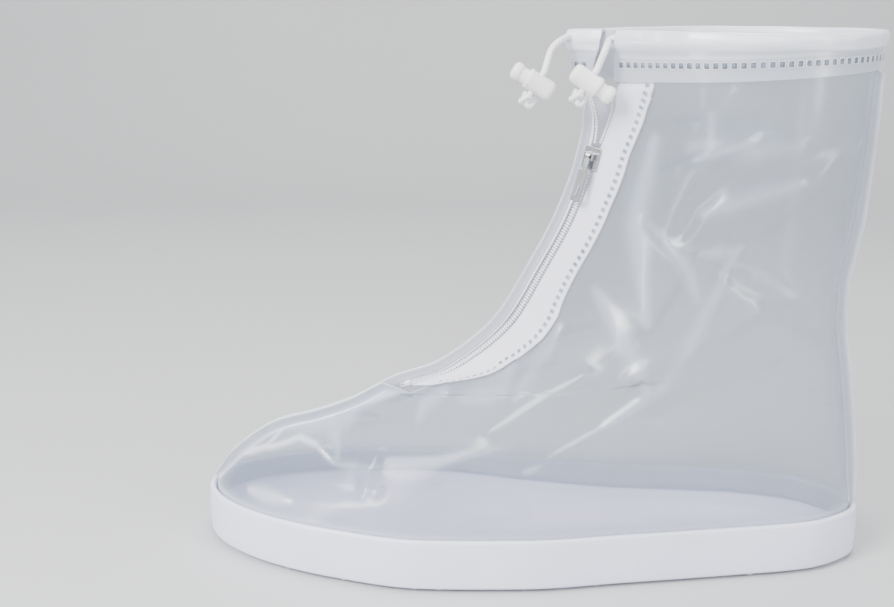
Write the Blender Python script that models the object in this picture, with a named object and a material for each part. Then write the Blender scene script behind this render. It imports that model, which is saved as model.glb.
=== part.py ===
"""A rain cover that is worn over a shoe: a sole tray, two film side panels, a drawstring collar and a front zip.

Metres, +Z up, toe towards -X, the outer side of the foot towards -Y. The part stands on Z = 0.
"""

import math

import bmesh
import bpy
import numpy as np
from mathutils import Matrix, Vector

MM = 0.001

# Driving sizes of the sole tray
SOLE_LENGTH = 300 * MM
SOLE_HEIGHT = 24 * MM
SOLE_WIDTH_OUTER = 55.8 * MM
SOLE_WIDTH_INNER = 50 * MM
SOLE_WALL = 2.6 * MM
SOLE_FLOOR = 5 * MM
SOLE_EDGE_ROUND = 2 * MM
SOLE_POINTS = 34

# Driving sizes of the upper
UPPER_HEIGHT = 210 * MM
SHAFT_HALF_WIDTH = 43 * MM
FILM = 1.1 * MM
SEAM_GAP = 0.3 * MM
FIT_GAP = 0.3 * MM
LAP_GAP = 0.6 * MM
FLANGE_WIDTH = 4.6 * MM
LAP_DEPTH = 10 * MM
FILM_TOP_LEVEL = 15.3
HEM_TOP_LEVEL = 16.0
PANEL_COLUMNS = 20
PANEL_ROWS_LOW = 8
PANEL_ROWS_HIGH = 9
SKIN_COLUMNS = 241

# Driving sizes of the zip
ZIP_BOTTOM_LEVEL = 5.7
SLIDER_LEVEL = 11.85
COIL_PLACE = 5.0 * MM
COIL_WIDTH = 2.8 * MM
COIL_THICK = 1.8 * MM
COIL_LIFT = 0.5 * MM
COIL_OVER_FILM = 1.4 * MM
TAPE_WIDTH = 13.5 * MM
TAPE_THICK = 0.6 * MM
TAPE_UNDER = 8 * MM
THROAT_OPEN = 16 * MM
THROAT_DRAWN = 1.6 * MM
STOP_LENGTH = 3 * MM
SLIDER_LENGTH = 10 * MM
SLIDER_WIDTH = 7.4 * MM
SLIDER_PLATE = 0.9 * MM
EAR_THICK = 0.8 * MM
PIN_RADIUS = 0.5 * MM
PULL_LENGTH = 20 * MM
PULL_WIDTH = 4.6 * MM
PULL_THICK = 1.2 * MM
PULL_EYE_WIDTH = 2.2 * MM
PULL_EYE_WALL = 0.6 * MM
PULL_TILT = 7

# Driving sizes of the collar hem and its drawstring
HEM_LOW_LEVEL = 14.1
WRAP_LEVEL = 13.75
HEM_FILM = 0.9 * MM
HEM_GAP = 0.6 * MM
CHANNEL_SHARE = 0.30
CHANNEL_THICK = 5.6 * MM
HEM_WRAP = 14.5 * MM
HEM_WRAP_LOW = 7 * MM
CORD_DIAMETER = 2.8 * MM

# Driving sizes of the cord locks
LOCK_DIAMETER = 8.6 * MM
LOCK_LENGTH = 14.6 * MM
LOCK_BORE = 5.8 * MM
LOCK_BORE_DEPTH = 13 * MM
LOCK_CORD_PLACE = 5 * MM
CORD_CLEARANCE = 0.4 * MM
PLUNGER_HEAD = 7.6 * MM
PLUNGER_HEAD_LENGTH = 4.2 * MM
PLUNGER_STEM = 5.2 * MM
PLUNGER_STEM_LENGTH = 12.4 * MM
PLUNGER_TRAVEL = 3 * MM
PLUNGER_STAND = 3.2 * MM
KNOT_SIZE = 5.4 * MM
KNOT_STAND = 2.2 * MM

# Sole outline: share of the length from the toe, then the outer and inner half widths as shares of their sizes
SOLE_OUTLINE = (
    (0.000, -0.11, 0.12),
    (0.015, 0.16, 0.44),
    (0.050, 0.39, 0.66),
    (0.120, 0.65, 0.86),
    (0.220, 0.86, 0.98),
    (0.350, 1.00, 1.00),
    (0.500, 0.95, 0.84),
    (0.650, 0.78, 0.72),
    (0.800, 0.60, 0.70),
    (0.920, 0.43, 0.56),
    (0.970, 0.26, 0.34),
    (1.000, 0.00, 0.00),
)

# Levels of the upper, from the sole to the collar. Columns: front line along X and up, heel line along X and up
# (shares of the sole's half length and of the upper's height), the ridge's drift to the inner side (share of the
# shaft's half width), outer and inner half widths (shares of the shaft's), and how far the section has turned
# from the sole's outline to an oval.
LEVELS = (
    (-0.976, 0.003, 0.976, 0.003, 0.14, 1.22, 1.10, 0.00),
    (-0.930, 0.036, 0.964, 0.055, 0.13, 1.21, 1.10, 0.10),
    (-0.865, 0.080, 0.952, 0.125, 0.12, 1.16, 1.08, 0.28),
    (-0.762, 0.128, 0.940, 0.195, 0.10, 1.10, 1.05, 0.48),
    (-0.642, 0.154, 0.925, 0.265, 0.08, 1.05, 1.01, 0.66),
    (-0.533, 0.184, 0.908, 0.335, 0.07, 1.00, 0.98, 0.80),
    (-0.390, 0.240, 0.892, 0.410, 0.06, 0.96, 0.95, 0.90),
    (-0.281, 0.268, 0.890, 0.480, 0.05, 0.94, 0.93, 0.96),
    (-0.190, 0.310, 0.905, 0.550, 0.04, 0.93, 0.93, 1.00),
    (-0.080, 0.384, 0.920, 0.620, 0.03, 0.94, 0.94, 1.00),
    (0.014, 0.502, 0.930, 0.695, 0.02, 0.96, 0.96, 1.00),
    (0.095, 0.618, 0.935, 0.765, 0.01, 0.98, 0.98, 1.00),
    (0.149, 0.731, 0.938, 0.830, 0.00, 1.00, 1.00, 1.00),
    (0.171, 0.824, 0.940, 0.885, 0.00, 1.01, 1.01, 1.00),
    (0.140, 0.890, 0.943, 0.925, 0.02, 1.02, 1.02, 1.00),
    (0.115, 0.942, 0.947, 0.960, 0.05, 1.02, 1.02, 1.00),
    (0.106, 1.000, 0.950, 1.000, 0.06, 1.02, 1.02, 1.00),
)
WIDEST_PLACE = 0.55
ROUND_NOSE = 1.4
SHARP_NOSE = 1.45
NOSE_BLUNT = 0.07
NOSE_ROUND = 0.012

# Folds of the film: side, then start and end as shares of half the sole's length and of the upper's height,
# half width in shares of the shaft's half width, height in shares of it (a groove is negative)
FOLDS = (
    ("outer", -0.83, 0.075, -0.44, 0.085, 0.16, -0.050),
    ("outer", -0.80, 0.120, -0.60, 0.135, 0.10, 0.035),
    ("outer", -0.47, 0.070, -0.43, 0.150, 0.08, 0.035),
    ("outer", -0.10, 0.210, 0.16, 0.330, 0.13, 0.045),
    ("outer", 0.00, 0.150, 0.30, 0.300, 0.15, -0.045),
    ("outer", 0.28, 0.330, 0.62, 0.470, 0.14, 0.055),
    ("outer", 0.36, 0.250, 0.70, 0.340, 0.16, -0.055),
    ("outer", 0.52, 0.560, 0.84, 0.400, 0.13, -0.060),
    ("outer", 0.40, 0.620, 0.60, 0.850, 0.13, -0.045),
    ("outer", 0.62, 0.640, 0.86, 0.800, 0.12, 0.045),
    ("inner", -0.80, 0.090, -0.46, 0.100, 0.15, -0.045),
    ("inner", -0.12, 0.200, 0.20, 0.320, 0.14, 0.045),
    ("inner", 0.05, 0.150, 0.34, 0.270, 0.15, -0.045),
    ("inner", 0.30, 0.340, 0.66, 0.450, 0.14, 0.050),
    ("inner", 0.40, 0.520, 0.80, 0.420, 0.14, -0.055),
    ("inner", 0.48, 0.650, 0.62, 0.860, 0.13, -0.045),
)
FOLD_EDGE = 14 * MM

# How far the open zip's outer tape, and the outer film's front edge, have drawn back: level, share of the opening
TAPE_THROAT = ((5.0, 0.0), (11.9, 0.0), (13.0, 0.27), (13.6, 0.65), (14.2, 1.0), (16.0, 1.0))
FILM_THROAT = ((5.0, 0.0), (11.9, 0.0), (13.0, 0.12), (13.6, 0.23), (14.1, 0.37), (15.2, 0.67), (16.0, 0.76))

# Cord locks: middle of the cord's hole, and the direction from the plunger's head to the barrel's end
LOCKS = {
    "outer": ((22.5 * MM, -20.0 * MM, 213.5 * MM), (-0.83, 0.0, 0.55)),
    "inner": ((1.5 * MM, -11.0 * MM, 212.0 * MM), (0.856, 0.0, -0.519)),
}

# Free cord ends: route points in millimetres, chosen by hand, between the hem's outlet and the lock
CORD_ROUTES = {
    "outer": ((31.0, -10.8, 229.8), (29.0, -18.5, 226.5)),
    "inner": ((7.5, -5.5, 226.0),),
}

WHITE_SOLE = ("sole_white", (0.80, 0.80, 0.86), 0.45, 0.0)
CLEAR_FILM = ("clear_film", (0.72, 0.74, 0.78), 0.25, 0.0)
HEM_WHITE = ("hem_film", (0.78, 0.79, 0.84), 0.30, 0.0)
TAPE_WHITE = ("tape_white", (0.80, 0.80, 0.86), 0.70, 0.0)
COIL_WHITE = ("coil_white", (0.84, 0.84, 0.84), 0.45, 0.0)
LOCK_WHITE = ("lock_white", (0.86, 0.86, 0.83), 0.35, 0.0)
CORD_WHITE = ("cord_white", (0.82, 0.82, 0.84), 0.75, 0.0)
SLIDER_METAL = ("slider_metal", (0.75, 0.76, 0.78), 0.25, 1.0)


def material(finish):
    """The named finish as a Principled material, made once."""
    name, colour, roughness, metallic = finish
    found = bpy.data.materials.get(name)
    if found:
        return found
    made = bpy.data.materials.new(name)
    made.use_nodes = True
    shader = made.node_tree.nodes["Principled BSDF"]
    shader.inputs["Base Color"].default_value = (*colour, 1.0)
    shader.inputs["Roughness"].default_value = roughness
    shader.inputs["Metallic"].default_value = metallic
    return made


def add_object(name, mesh_data, finish, smooth=True):
    """A mesh object in the scene with its finish and smooth shading."""
    piece = bpy.data.objects.new(name, mesh_data)
    bpy.context.scene.collection.objects.link(piece)
    mesh_data.materials.append(material(finish))
    if smooth:
        mesh_data.shade_smooth()
        mesh_data.set_sharp_from_angle(angle=math.radians(40))
    return piece


def mesh_from_bmesh(name, shape):
    """The bmesh as mesh data, with its normals turned outwards."""
    bmesh.ops.recalc_face_normals(shape, faces=shape.faces)
    data = bpy.data.meshes.new(name)
    shape.to_mesh(data)
    shape.free()
    return data


def monotone(place, places, values):
    """Values of a smooth curve through the table that never overshoots it."""
    places = np.asarray(places, float)
    values = np.asarray(values, float)
    step = np.diff(places)
    slope = np.diff(values) / step
    tangent = np.zeros(len(places))
    same_sign = slope[:-1] * slope[1:] > 0
    first_weight = 2 * step[1:] + step[:-1]
    last_weight = step[1:] + 2 * step[:-1]
    safe_first = np.where(same_sign, slope[:-1], 1.0)
    safe_last = np.where(same_sign, slope[1:], 1.0)
    mean = (first_weight + last_weight) / (first_weight / safe_first + last_weight / safe_last)
    tangent[1:-1] = np.where(same_sign, mean, 0.0)
    tangent[0] = slope[0]
    tangent[-1] = slope[-1]
    place = np.clip(np.asarray(place, float), places[0], places[-1])
    cell = np.clip(np.searchsorted(places, place, side="right") - 1, 0, len(step) - 1)
    width = step[cell]
    share = (place - places[cell]) / width
    rise = values[cell] * (1 + 2 * share) * (1 - share) ** 2 + values[cell + 1] * share**2 * (3 - 2 * share)
    return rise + width * (tangent[cell] * share * (1 - share) ** 2 - tangent[cell + 1] * share**2 * (1 - share))


def ease(share):
    """0 below 0, 1 above 1 and a smooth step between."""
    share = np.clip(share, 0.0, 1.0)
    return share * share * (3 - 2 * share)


def side_sign(side):
    return -1.0 if side == "outer" else 1.0


def sole_half(side, turn, inset=0.0):
    """Plan points of the sole's edge on one side; turn runs from 0 at the toe to 1 at the heel."""
    table = np.array(SOLE_OUTLINE)
    places = np.arccos(1 - 2 * table[:, 0]) / math.pi
    fine = np.linspace(0, 1, 361)
    along = -0.5 * SOLE_LENGTH * np.cos(math.pi * fine)
    outer = -SOLE_WIDTH_OUTER * monotone(fine, places, table[:, 1])
    inner = SOLE_WIDTH_INNER * monotone(fine, places, table[:, 2])
    edge, other = (outer, inner) if side == "outer" else (inner, outer)
    loop_x = np.concatenate([along[3:0:-1], along, along[-2:-5:-1]])
    loop_y = np.concatenate([other[3:0:-1], edge, other[-2:-5:-1]])
    tangent_x = np.gradient(loop_x)
    tangent_y = np.gradient(loop_y)
    length = np.hypot(tangent_x, tangent_y) + 1e-12
    sign = side_sign(side)
    moved_x = loop_x + inset * sign * tangent_y / length
    moved_y = loop_y - inset * sign * tangent_x / length
    return np.interp(turn, fine, moved_x[3:-3]), np.interp(turn, fine, moved_y[3:-3])


def sole_loop(inset):
    """Closed plan loop of the sole's edge, from the toe along the outer side and back along the inner side."""
    turns = np.linspace(0, 1, SOLE_POINTS + 1)
    outer_x, outer_y = sole_half("outer", turns, inset)
    inner_x, inner_y = sole_half("inner", turns, inset)
    plan_x = np.concatenate([outer_x, inner_x[-2:0:-1]])
    plan_y = np.concatenate([outer_y, inner_y[-2:0:-1]])
    return np.stack([plan_x, plan_y], axis=1)


def lofted(name, rings, finish):
    """A solid lofted through rings of equal length, with flat ends."""
    shape = bmesh.new()
    rows = [[shape.verts.new(point) for point in ring] for ring in rings]
    count = len(rows[0])
    for low, high in zip(rows[:-1], rows[1:]):
        for i in range(count):
            j = (i + 1) % count
            shape.faces.new((low[i], low[j], high[j], high[i]))
    shape.faces.new(rows[0])
    shape.faces.new(rows[-1])
    return add_object(name, mesh_from_bmesh(name, shape), finish)


def build_sole():
    """The moulded tray that the shoe stands in: floor, wall and rounded edges."""
    ladder = (
        (SOLE_EDGE_ROUND, 0.0),
        (0.3 * SOLE_EDGE_ROUND, 0.3 * SOLE_EDGE_ROUND),
        (0.0, SOLE_EDGE_ROUND),
        (0.0, SOLE_HEIGHT - 0.3 * SOLE_WALL),
        (0.3 * SOLE_WALL, SOLE_HEIGHT),
        (SOLE_WALL, SOLE_HEIGHT),
        (SOLE_WALL, SOLE_FLOOR),
    )
    rings = []
    for inset, height in ladder:
        rings.append([(x, y, height) for x, y in sole_loop(inset)])
    return lofted("sole", rings, WHITE_SOLE)


def level_row(level):
    """The level table at any level, as lengths."""
    table = np.array(LEVELS)
    values = [monotone(level, np.arange(len(LEVELS)), table[:, column]) for column in range(8)]
    half = SOLE_LENGTH / 2
    return {
        "front_x": values[0] * half,
        "front_z": SOLE_HEIGHT + values[1] * UPPER_HEIGHT,
        "heel_x": values[2] * half,
        "heel_z": SOLE_HEIGHT + values[3] * UPPER_HEIGHT,
        "drift": values[4] * SHAFT_HALF_WIDTH,
        "outer": values[5] * SHAFT_HALF_WIDTH,
        "inner": values[6] * SHAFT_HALF_WIDTH,
        "oval": values[7],
    }


def oval_width(share, sharp):
    """Half width of the oval section, from 0 at the front line through 1 to 0 at the heel line; sharp turns its
    nose from a round one to the wedge that two welded films make."""
    ahead = np.clip(1 - share / WIDEST_PLACE, 0, 1)
    behind = np.clip((share - WIDEST_PLACE) / (1 - WIDEST_PLACE), 0, 1)
    round_front = (1 - ahead**2) ** (1 / ROUND_NOSE)
    sharp_front = NOSE_BLUNT * (1 - np.exp(-share / NOSE_ROUND))
    sharp_front = sharp_front + (1 - NOSE_BLUNT) * np.cos(0.5 * math.pi * ahead) ** SHARP_NOSE
    front = (1 - sharp) * round_front + sharp * sharp_front
    return np.where(share < WIDEST_PLACE, front, np.sqrt(1 - behind**2))


def section(side, level):
    """Outer skin of one side at a level, from the front line to the heel line, without folds."""
    row = level_row(level)
    turn = np.linspace(0, 1, SKIN_COLUMNS)
    share = 0.5 * (1 - np.cos(math.pi * turn))
    sign = side_sign(side)
    skin = SEAM_GAP / 2 + FILM
    drift = row["drift"] * (1 - share) ** 2
    width = oval_width(share, float(ease((level - 3) / 4)))
    oval_x = row["front_x"] + (row["heel_x"] - row["front_x"]) * share
    oval_y = drift + sign * (skin + (row[side] - skin) * width)
    edge_x, edge_y = sole_half(side, turn, SOLE_WALL + LAP_GAP)
    edge_share = (edge_x - edge_x[0]) / (edge_x[-1] - edge_x[0])
    edge_x = row["front_x"] + (row["heel_x"] - row["front_x"]) * edge_share
    start_drift = level_row(0.0)["drift"]
    edge_half = sign * (edge_y - start_drift * (1 - edge_share) ** 2)
    edge_half = edge_half * row[side] / level_row(0.0)[side]
    edge_y = row["drift"] * (1 - edge_share) ** 2 + sign * np.maximum(edge_half, skin)
    blend = row["oval"]
    plan_x = (1 - blend) * edge_x + blend * oval_x
    plan_y = (1 - blend) * edge_y + blend * oval_y
    place = (plan_x - row["front_x"]) / (row["heel_x"] - row["front_x"])
    height = row["front_z"] + (row["heel_z"] - row["front_z"]) * place
    return np.stack([plan_x, plan_y, height], axis=1)


def fold_height(side, points):
    """How far the film's folds stand out of, or dip into, the plain skin at these points."""
    total = np.zeros(len(points))
    half = SOLE_LENGTH / 2
    for fold_side, x0, z0, x1, z1, width, height in FOLDS:
        if fold_side != side:
            continue
        start = np.array([x0 * half, SOLE_HEIGHT + z0 * UPPER_HEIGHT])
        run = np.array([x1 * half, SOLE_HEIGHT + z1 * UPPER_HEIGHT]) - start
        reach = points[:, (0, 2)] - start
        along = np.clip(reach @ run / (run @ run), 0, 1)
        apart = np.linalg.norm(reach - along[:, None] * run, axis=1)
        spread = width * SHAFT_HALF_WIDTH * (0.55 + 0.45 * np.sin(math.pi * along))
        total += height * SHAFT_HALF_WIDTH * np.exp(-((apart / spread) ** 2))
    return total


def run_lengths(line):
    """Distance along a line of points, from its start."""
    return np.concatenate([[0.0], np.cumsum(np.linalg.norm(np.diff(line, axis=0), axis=1))])


def at_distance(line, distances):
    """Points on a line at these distances from its start."""
    lengths = run_lengths(line)
    return np.stack([np.interp(distances, lengths, line[:, axis]) for axis in range(3)], axis=1)


def outer_coil_place(level):
    """Distance of the outer tape's coil line from the front line: closed up to the slider, then drawn back."""
    return COIL_PLACE + THROAT_OPEN * float(monotone(level, *zip(*TAPE_THROAT)))


def skin_points(side, level, distances, lift=0.0):
    """Points on one side's folded skin at distances from the front line; lift raises them along the normal."""
    wide = section(side, level)
    step = 0.12
    lower = section(side, max(level - step, 0.0))
    upper = section(side, min(level + step, len(LEVELS) - 1.0))
    lengths = run_lengths(wide)
    around = np.gradient(wide, axis=0)
    normal = np.cross(upper - lower, around) * side_sign(side)
    normal /= np.linalg.norm(normal, axis=1)[:, None] + 1e-12
    edge = np.minimum(lengths - 2 * FLANGE_WIDTH, lengths[-1] - lengths) / FOLD_EDGE
    vertical = np.minimum(level / 1.2, (len(LEVELS) - 2.4 - level) / 1.2)
    window = ease(edge) * ease(vertical)
    folded = wide + normal * (fold_height(side, wide) * window + lift)[:, None]
    return np.stack([np.interp(distances, lengths, folded[:, axis]) for axis in range(3)], axis=1)


def slant(level):
    """How square the sections stand to the zip's line: a width across the zip takes its length over this."""
    here = skin_points("outer", level, np.array([COIL_PLACE, COIL_PLACE + COIL_WIDTH]))
    ahead = skin_points("outer", level + (0.2 if level < 8 else -0.2), np.array([COIL_PLACE]))[0]
    around = (here[1] - here[0]) / np.linalg.norm(here[1] - here[0])
    along = (ahead - here[0]) / np.linalg.norm(ahead - here[0])
    return max(float(np.linalg.norm(np.cross(around, along))), 0.5)


def film_edge(level):
    """Distance of the outer panel's front edge from the front line, clear of the slider's plates."""
    opened = THROAT_OPEN * float(monotone(level, *zip(*FILM_THROAT)))
    return COIL_PLACE + opened + (SLIDER_WIDTH / 2 + 8 * FIT_GAP) / slant(level)


def total_length(side, level):
    return run_lengths(section(side, level))[-1]


def front_direction(level):
    """Unit direction in which the front seam's flange stands out, square to the front line."""
    low = level_row(max(level - 0.15, 0.0))
    high = level_row(min(level + 0.15, len(LEVELS) - 1.0))
    run = np.array([high["front_x"] - low["front_x"], 0.0, high["front_z"] - low["front_z"]])
    run /= np.linalg.norm(run)
    return np.array([-run[2], 0.0, run[0]])


def flange_width(level):
    """The weld flange's width: narrow where it stands on the sole's rim, and a little narrower by the zip."""
    return FLANGE_WIDTH * (0.55 + 0.45 * float(ease(level / 1.5)) - 0.13 * float(ease(level - 9)))


def body_shares():
    """Where a panel's columns, and the hem's stations over them, fall from the front edge to the heel."""
    return (1 - np.cos(np.linspace(0, 1, PANEL_COLUMNS) * math.pi * 0.93)) / (1 - math.cos(0.93 * math.pi))


def panel_row(side, level):
    """One row of a panel's skin: front edge or flange, the side, and the heel flange."""
    length = total_length(side, level)
    zipped = side == "outer" and level > ZIP_BOTTOM_LEVEL
    start = film_edge(level) if zipped else 0.0
    body = skin_points(side, level, start + (length - start) * body_shares())
    if zipped:
        ahead = body[0] + (body[0] - body[1]) * 0.3
        front = [ahead]
    elif side == "inner":
        front = inner_front(level, body[0])
    else:
        front = [body[0] + front_direction(level) * flange_width(level)]
    ends_under_hem = 1 - 0.96 * float(ease((level - HEM_LOW_LEVEL + 0.4) / 0.3))
    heel = body[-1] + np.array([flange_width(level) * ends_under_hem, 0.0, 0.0])
    return np.vstack([front, body, [heel]])


def wrap_run(level, share):
    """Step from the inner panel's front line, round the front of the collar; it is longest at the top."""
    rise = float(ease((level - HEM_LOW_LEVEL) / (HEM_TOP_LEVEL - HEM_LOW_LEVEL)))
    distance = share * (HEM_WRAP_LOW + (HEM_WRAP - HEM_WRAP_LOW) * rise)
    return np.array([0.86 * distance, -0.51 * distance, 0.0])


def inner_front(level, base):
    """The inner panel's front edge: a forward flange that turns into a wrap across the front at the collar."""
    wrap = float(ease((level - WRAP_LEVEL) / (HEM_LOW_LEVEL - 0.1 - WRAP_LEVEL)))
    narrow = 1 - 0.92 * float(ease((level - WRAP_LEVEL + 0.65) / 0.65))
    forward = base + front_direction(level) * flange_width(level) * narrow
    return [(1 - wrap) * forward + wrap * (base + wrap_run(level, 0.97))]


def lap_row(side, height, flange):
    """A row of a panel's skin inside the tray, where the film is welded to the wall."""
    line = section(side, 0.0)
    line[:, 2] = height
    body = at_distance(line, body_shares() * run_lengths(line)[-1])
    ahead = body[0] + np.array([-flange, 0.0, 0.0])
    heel = body[-1] + np.array([flange, 0.0, 0.0])
    return np.vstack([[ahead], body, [heel]])


def build_panel(side, name):
    """One film side panel with its welded flanges, as a sheet of the film's thickness."""
    small = 0.1 * FLANGE_WIDTH
    rows = [
        lap_row(side, SOLE_HEIGHT - LAP_DEPTH, small),
        lap_row(side, SOLE_HEIGHT - 0.4 * LAP_DEPTH, small),
        lap_row(side, SOLE_HEIGHT + FIT_GAP, small),
    ]
    below = np.linspace(0.05, ZIP_BOTTOM_LEVEL, PANEL_ROWS_LOW)
    above = np.linspace(ZIP_BOTTOM_LEVEL + 0.1, WRAP_LEVEL - 1.35, PANEL_ROWS_HIGH)
    hemmed = [WRAP_LEVEL + step for step in (-0.95, -0.55, -0.2, 0.05)]
    hemmed += [HEM_LOW_LEVEL - 0.05, hem_level(0.5 * (1 - CHANNEL_SHARE)), FILM_TOP_LEVEL]
    for level in np.concatenate([below, above, hemmed]):
        rows.append(panel_row(side, float(level)))
    shape = bmesh.new()
    grid = [[shape.verts.new(point) for point in row] for row in rows]
    for low, high in zip(grid[:-1], grid[1:]):
        for i in range(len(low) - 1):
            corners = (low[i], low[i + 1], high[i + 1], high[i])
            shape.faces.new(corners if side == "outer" else corners[::-1])
    data = bpy.data.meshes.new(name)
    shape.to_mesh(data)
    shape.free()
    panel = add_object(name, data, CLEAR_FILM)
    wall = panel.modifiers.new("film", "SOLIDIFY")
    wall.thickness = FILM
    wall.offset = -1.0
    wall.use_even_offset = True
    wall.thickness_clamp = 0.0
    return panel


def skin_frame(side, level, distance, lift=0.0):
    """Origin, direction across the zip, outward normal and direction along the zip, at one point of the skin."""
    here = skin_points(side, level, np.array([distance - 0.5 * MM, distance, distance + 0.5 * MM]))
    up = skin_points(side, level + 0.1, np.array([distance]))[0] - here[1]
    up /= np.linalg.norm(up)
    around = here[2] - here[0]
    around -= up * (up @ around)
    around /= np.linalg.norm(around)
    normal = np.cross(up, around) * side_sign(side)
    return here[1] + normal * lift, around, normal, up


def sheet(name, rows, thickness, finish):
    """A strip of even thickness under the surface through rows of points."""
    shape = bmesh.new()
    grid = [[shape.verts.new(point) for point in row] for row in rows]
    for low, high in zip(grid[:-1], grid[1:]):
        for i in range(len(low) - 1):
            corners = (low[i], low[i + 1], high[i + 1], high[i])
            shape.faces.new(corners)
    data = bpy.data.meshes.new(name)
    shape.to_mesh(data)
    shape.free()
    piece = add_object(name, data, finish)
    wall = piece.modifiers.new("thickness", "SOLIDIFY")
    wall.thickness = thickness
    wall.offset = -1.0
    wall.use_even_offset = True
    return piece


def build_outer_tape():
    """The tape on the outer panel, over the film's edge, from below the coil's end up under the hem."""
    rows = []
    for level in np.linspace(ZIP_BOTTOM_LEVEL + 0.3, HEM_LOW_LEVEL - 0.12, 22):
        square = slant(level)
        inner = outer_coil_place(level) + (COIL_WIDTH / 2 + 2 * FIT_GAP) / square
        pointed = 0.3 + 0.7 * float(ease(level - ZIP_BOTTOM_LEVEL))
        places = inner + TAPE_WIDTH * pointed / square * np.linspace(0, 1, 5)
        rows.append(skin_points("outer", float(level), places, 2 * FIT_GAP + TAPE_THICK))
    return sheet("zip_tape_outer", rows, TAPE_THICK, TAPE_WHITE)


def inner_coil_place(level):
    """Distance of the inner coil's middle from the front line, towards the outer side."""
    return COIL_PLACE - THROAT_DRAWN * float(ease((level - SLIDER_LEVEL - 0.55) / 0.9))


def build_inner_tape():
    """The tape under the inner panel's film, which comes out past the front line to carry the coil."""
    under = -(FILM + 2 * FIT_GAP)
    rise = COIL_LIFT + TAPE_THICK / 2
    rows = []
    for level in np.linspace(ZIP_BOTTOM_LEVEL + 0.3, WRAP_LEVEL - 0.05, 20):
        level = float(level)
        inner = skin_points("inner", level, TAPE_UNDER * np.array([1, 0.5, 0.2, 0.06]), under)
        edge = inner_coil_place(level) - (COIL_WIDTH / 2 + 3 * FIT_GAP) / slant(level)
        edge = max(edge, 4 * FIT_GAP)
        nose = skin_points("outer", level, np.array([FIT_GAP]), under)
        outer = skin_points("outer", level, np.array([0.35, 1.0]) * edge, rise)
        rows.append(np.vstack([inner, nose, outer]))
    return sheet("zip_tape_inner", rows, TAPE_THICK, TAPE_WHITE)


def coil_piece(name, levels, place, width, lift=lambda level: COIL_LIFT):
    """A stretch of coil with a flattened eight-sided section, along the skin."""
    rings = []
    for level in levels:
        origin, around, normal, _ = skin_frame("outer", float(level), place(float(level)), lift(float(level)))
        ring = []
        for turn in np.arange(8) * math.pi / 4 + math.pi / 8:
            offset = around * (0.54 * width * math.cos(turn)) + normal * (0.54 * COIL_THICK * math.sin(turn))
            ring.append(origin + offset)
        rings.append(ring)
    return lofted(name, rings, COIL_WHITE)


def outer_coil_lift(level):
    """The outer coil rises over the film's front edge where the tape has drawn back past it."""
    past = outer_coil_place(level) + COIL_WIDTH - film_edge(level)
    return COIL_LIFT + (COIL_OVER_FILM - COIL_LIFT) * float(ease(0.5 + past / COIL_WIDTH))


def build_coils():
    """The closed coil below the slider and its two halves above it."""
    closed = np.linspace(ZIP_BOTTOM_LEVEL + 0.45, SLIDER_LEVEL + 0.1, 20)
    coil_piece("zip_coil_closed", closed, outer_coil_place, COIL_WIDTH)
    start = SLIDER_LEVEL + 0.55
    half = COIL_WIDTH / 2
    shift = SLIDER_WIDTH / 8
    outer_levels = np.linspace(start, HEM_LOW_LEVEL - 0.2, 8)
    inner_levels = np.linspace(start, WRAP_LEVEL - 0.05, 7)
    coil_piece("zip_coil_outer", outer_levels, lambda at: outer_coil_place(at) + shift, half, outer_coil_lift)
    coil_piece("zip_coil_inner", inner_levels, lambda at: inner_coil_place(at) - shift, half)


def build_bottom_stop():
    """The moulded block that closes the coil's lower end."""
    level = ZIP_BOTTOM_LEVEL + 0.45
    origin, around, normal, up = skin_frame("outer", level, COIL_PLACE, COIL_LIFT + 2 * FIT_GAP)
    shape = bmesh.new()
    bmesh.ops.create_cube(shape, size=1.0)
    turn = Matrix((around, up, normal)).transposed().to_4x4()
    size = Matrix.Diagonal((0.7 * COIL_WIDTH, STOP_LENGTH, 1.2 * COIL_THICK, 1.0))
    place = Matrix.Translation(Vector(origin - up * (STOP_LENGTH / 2 + FIT_GAP) - around * FIT_GAP))
    bmesh.ops.transform(shape, matrix=place @ turn @ size, verts=shape.verts)
    bmesh.ops.bevel(shape, geom=shape.edges[:], offset=0.35 * MM, segments=1, affect="EDGES")
    return add_object("zip_bottom_stop", mesh_from_bmesh("zip_bottom_stop", shape), TAPE_WHITE)


def block(shape, low, high, bevel=0.0):
    """A box in the bmesh between two corners."""
    made = bmesh.ops.create_cube(shape, size=1.0)["verts"]
    low, high = Vector(low), Vector(high)
    span = high - low
    matrix = Matrix.Translation((low + high) / 2) @ Matrix.Diagonal((*span, 1.0))
    bmesh.ops.transform(shape, matrix=matrix, verts=made)
    if bevel:
        edges = list({edge for vert in made for edge in vert.link_edges})
        bmesh.ops.bevel(shape, geom=edges, offset=bevel, segments=1, affect="EDGES")


def rod(shape, start, end, radius, sides):
    """A round bar in the bmesh between two points."""
    start, end = Vector(start), Vector(end)
    turn = (end - start).to_track_quat("Z", "Y").to_matrix().to_4x4()
    matrix = Matrix.Translation((start + end) / 2) @ turn
    bmesh.ops.create_cone(
        shape, cap_ends=True, segments=sides, radius1=radius, radius2=radius, depth=(end - start).length, matrix=matrix
    )


def hidden_mesh(name, fill):
    """A guide object made by a function that fills a bmesh; it is used by a Boolean and not kept as a piece."""
    shape = bmesh.new()
    fill(shape)
    guide = bpy.data.objects.new(name, mesh_from_bmesh(name, shape))
    bpy.context.scene.collection.objects.link(guide)
    guide.hide_render = True
    guide.display_type = "WIRE"
    return guide


def combine(target, guide, operation):
    """A Boolean of the target with the guide, which moves with it."""
    guide.parent = target
    step = target.modifiers.new(guide.name, "BOOLEAN")
    step.operation = operation
    step.object = guide


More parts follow.
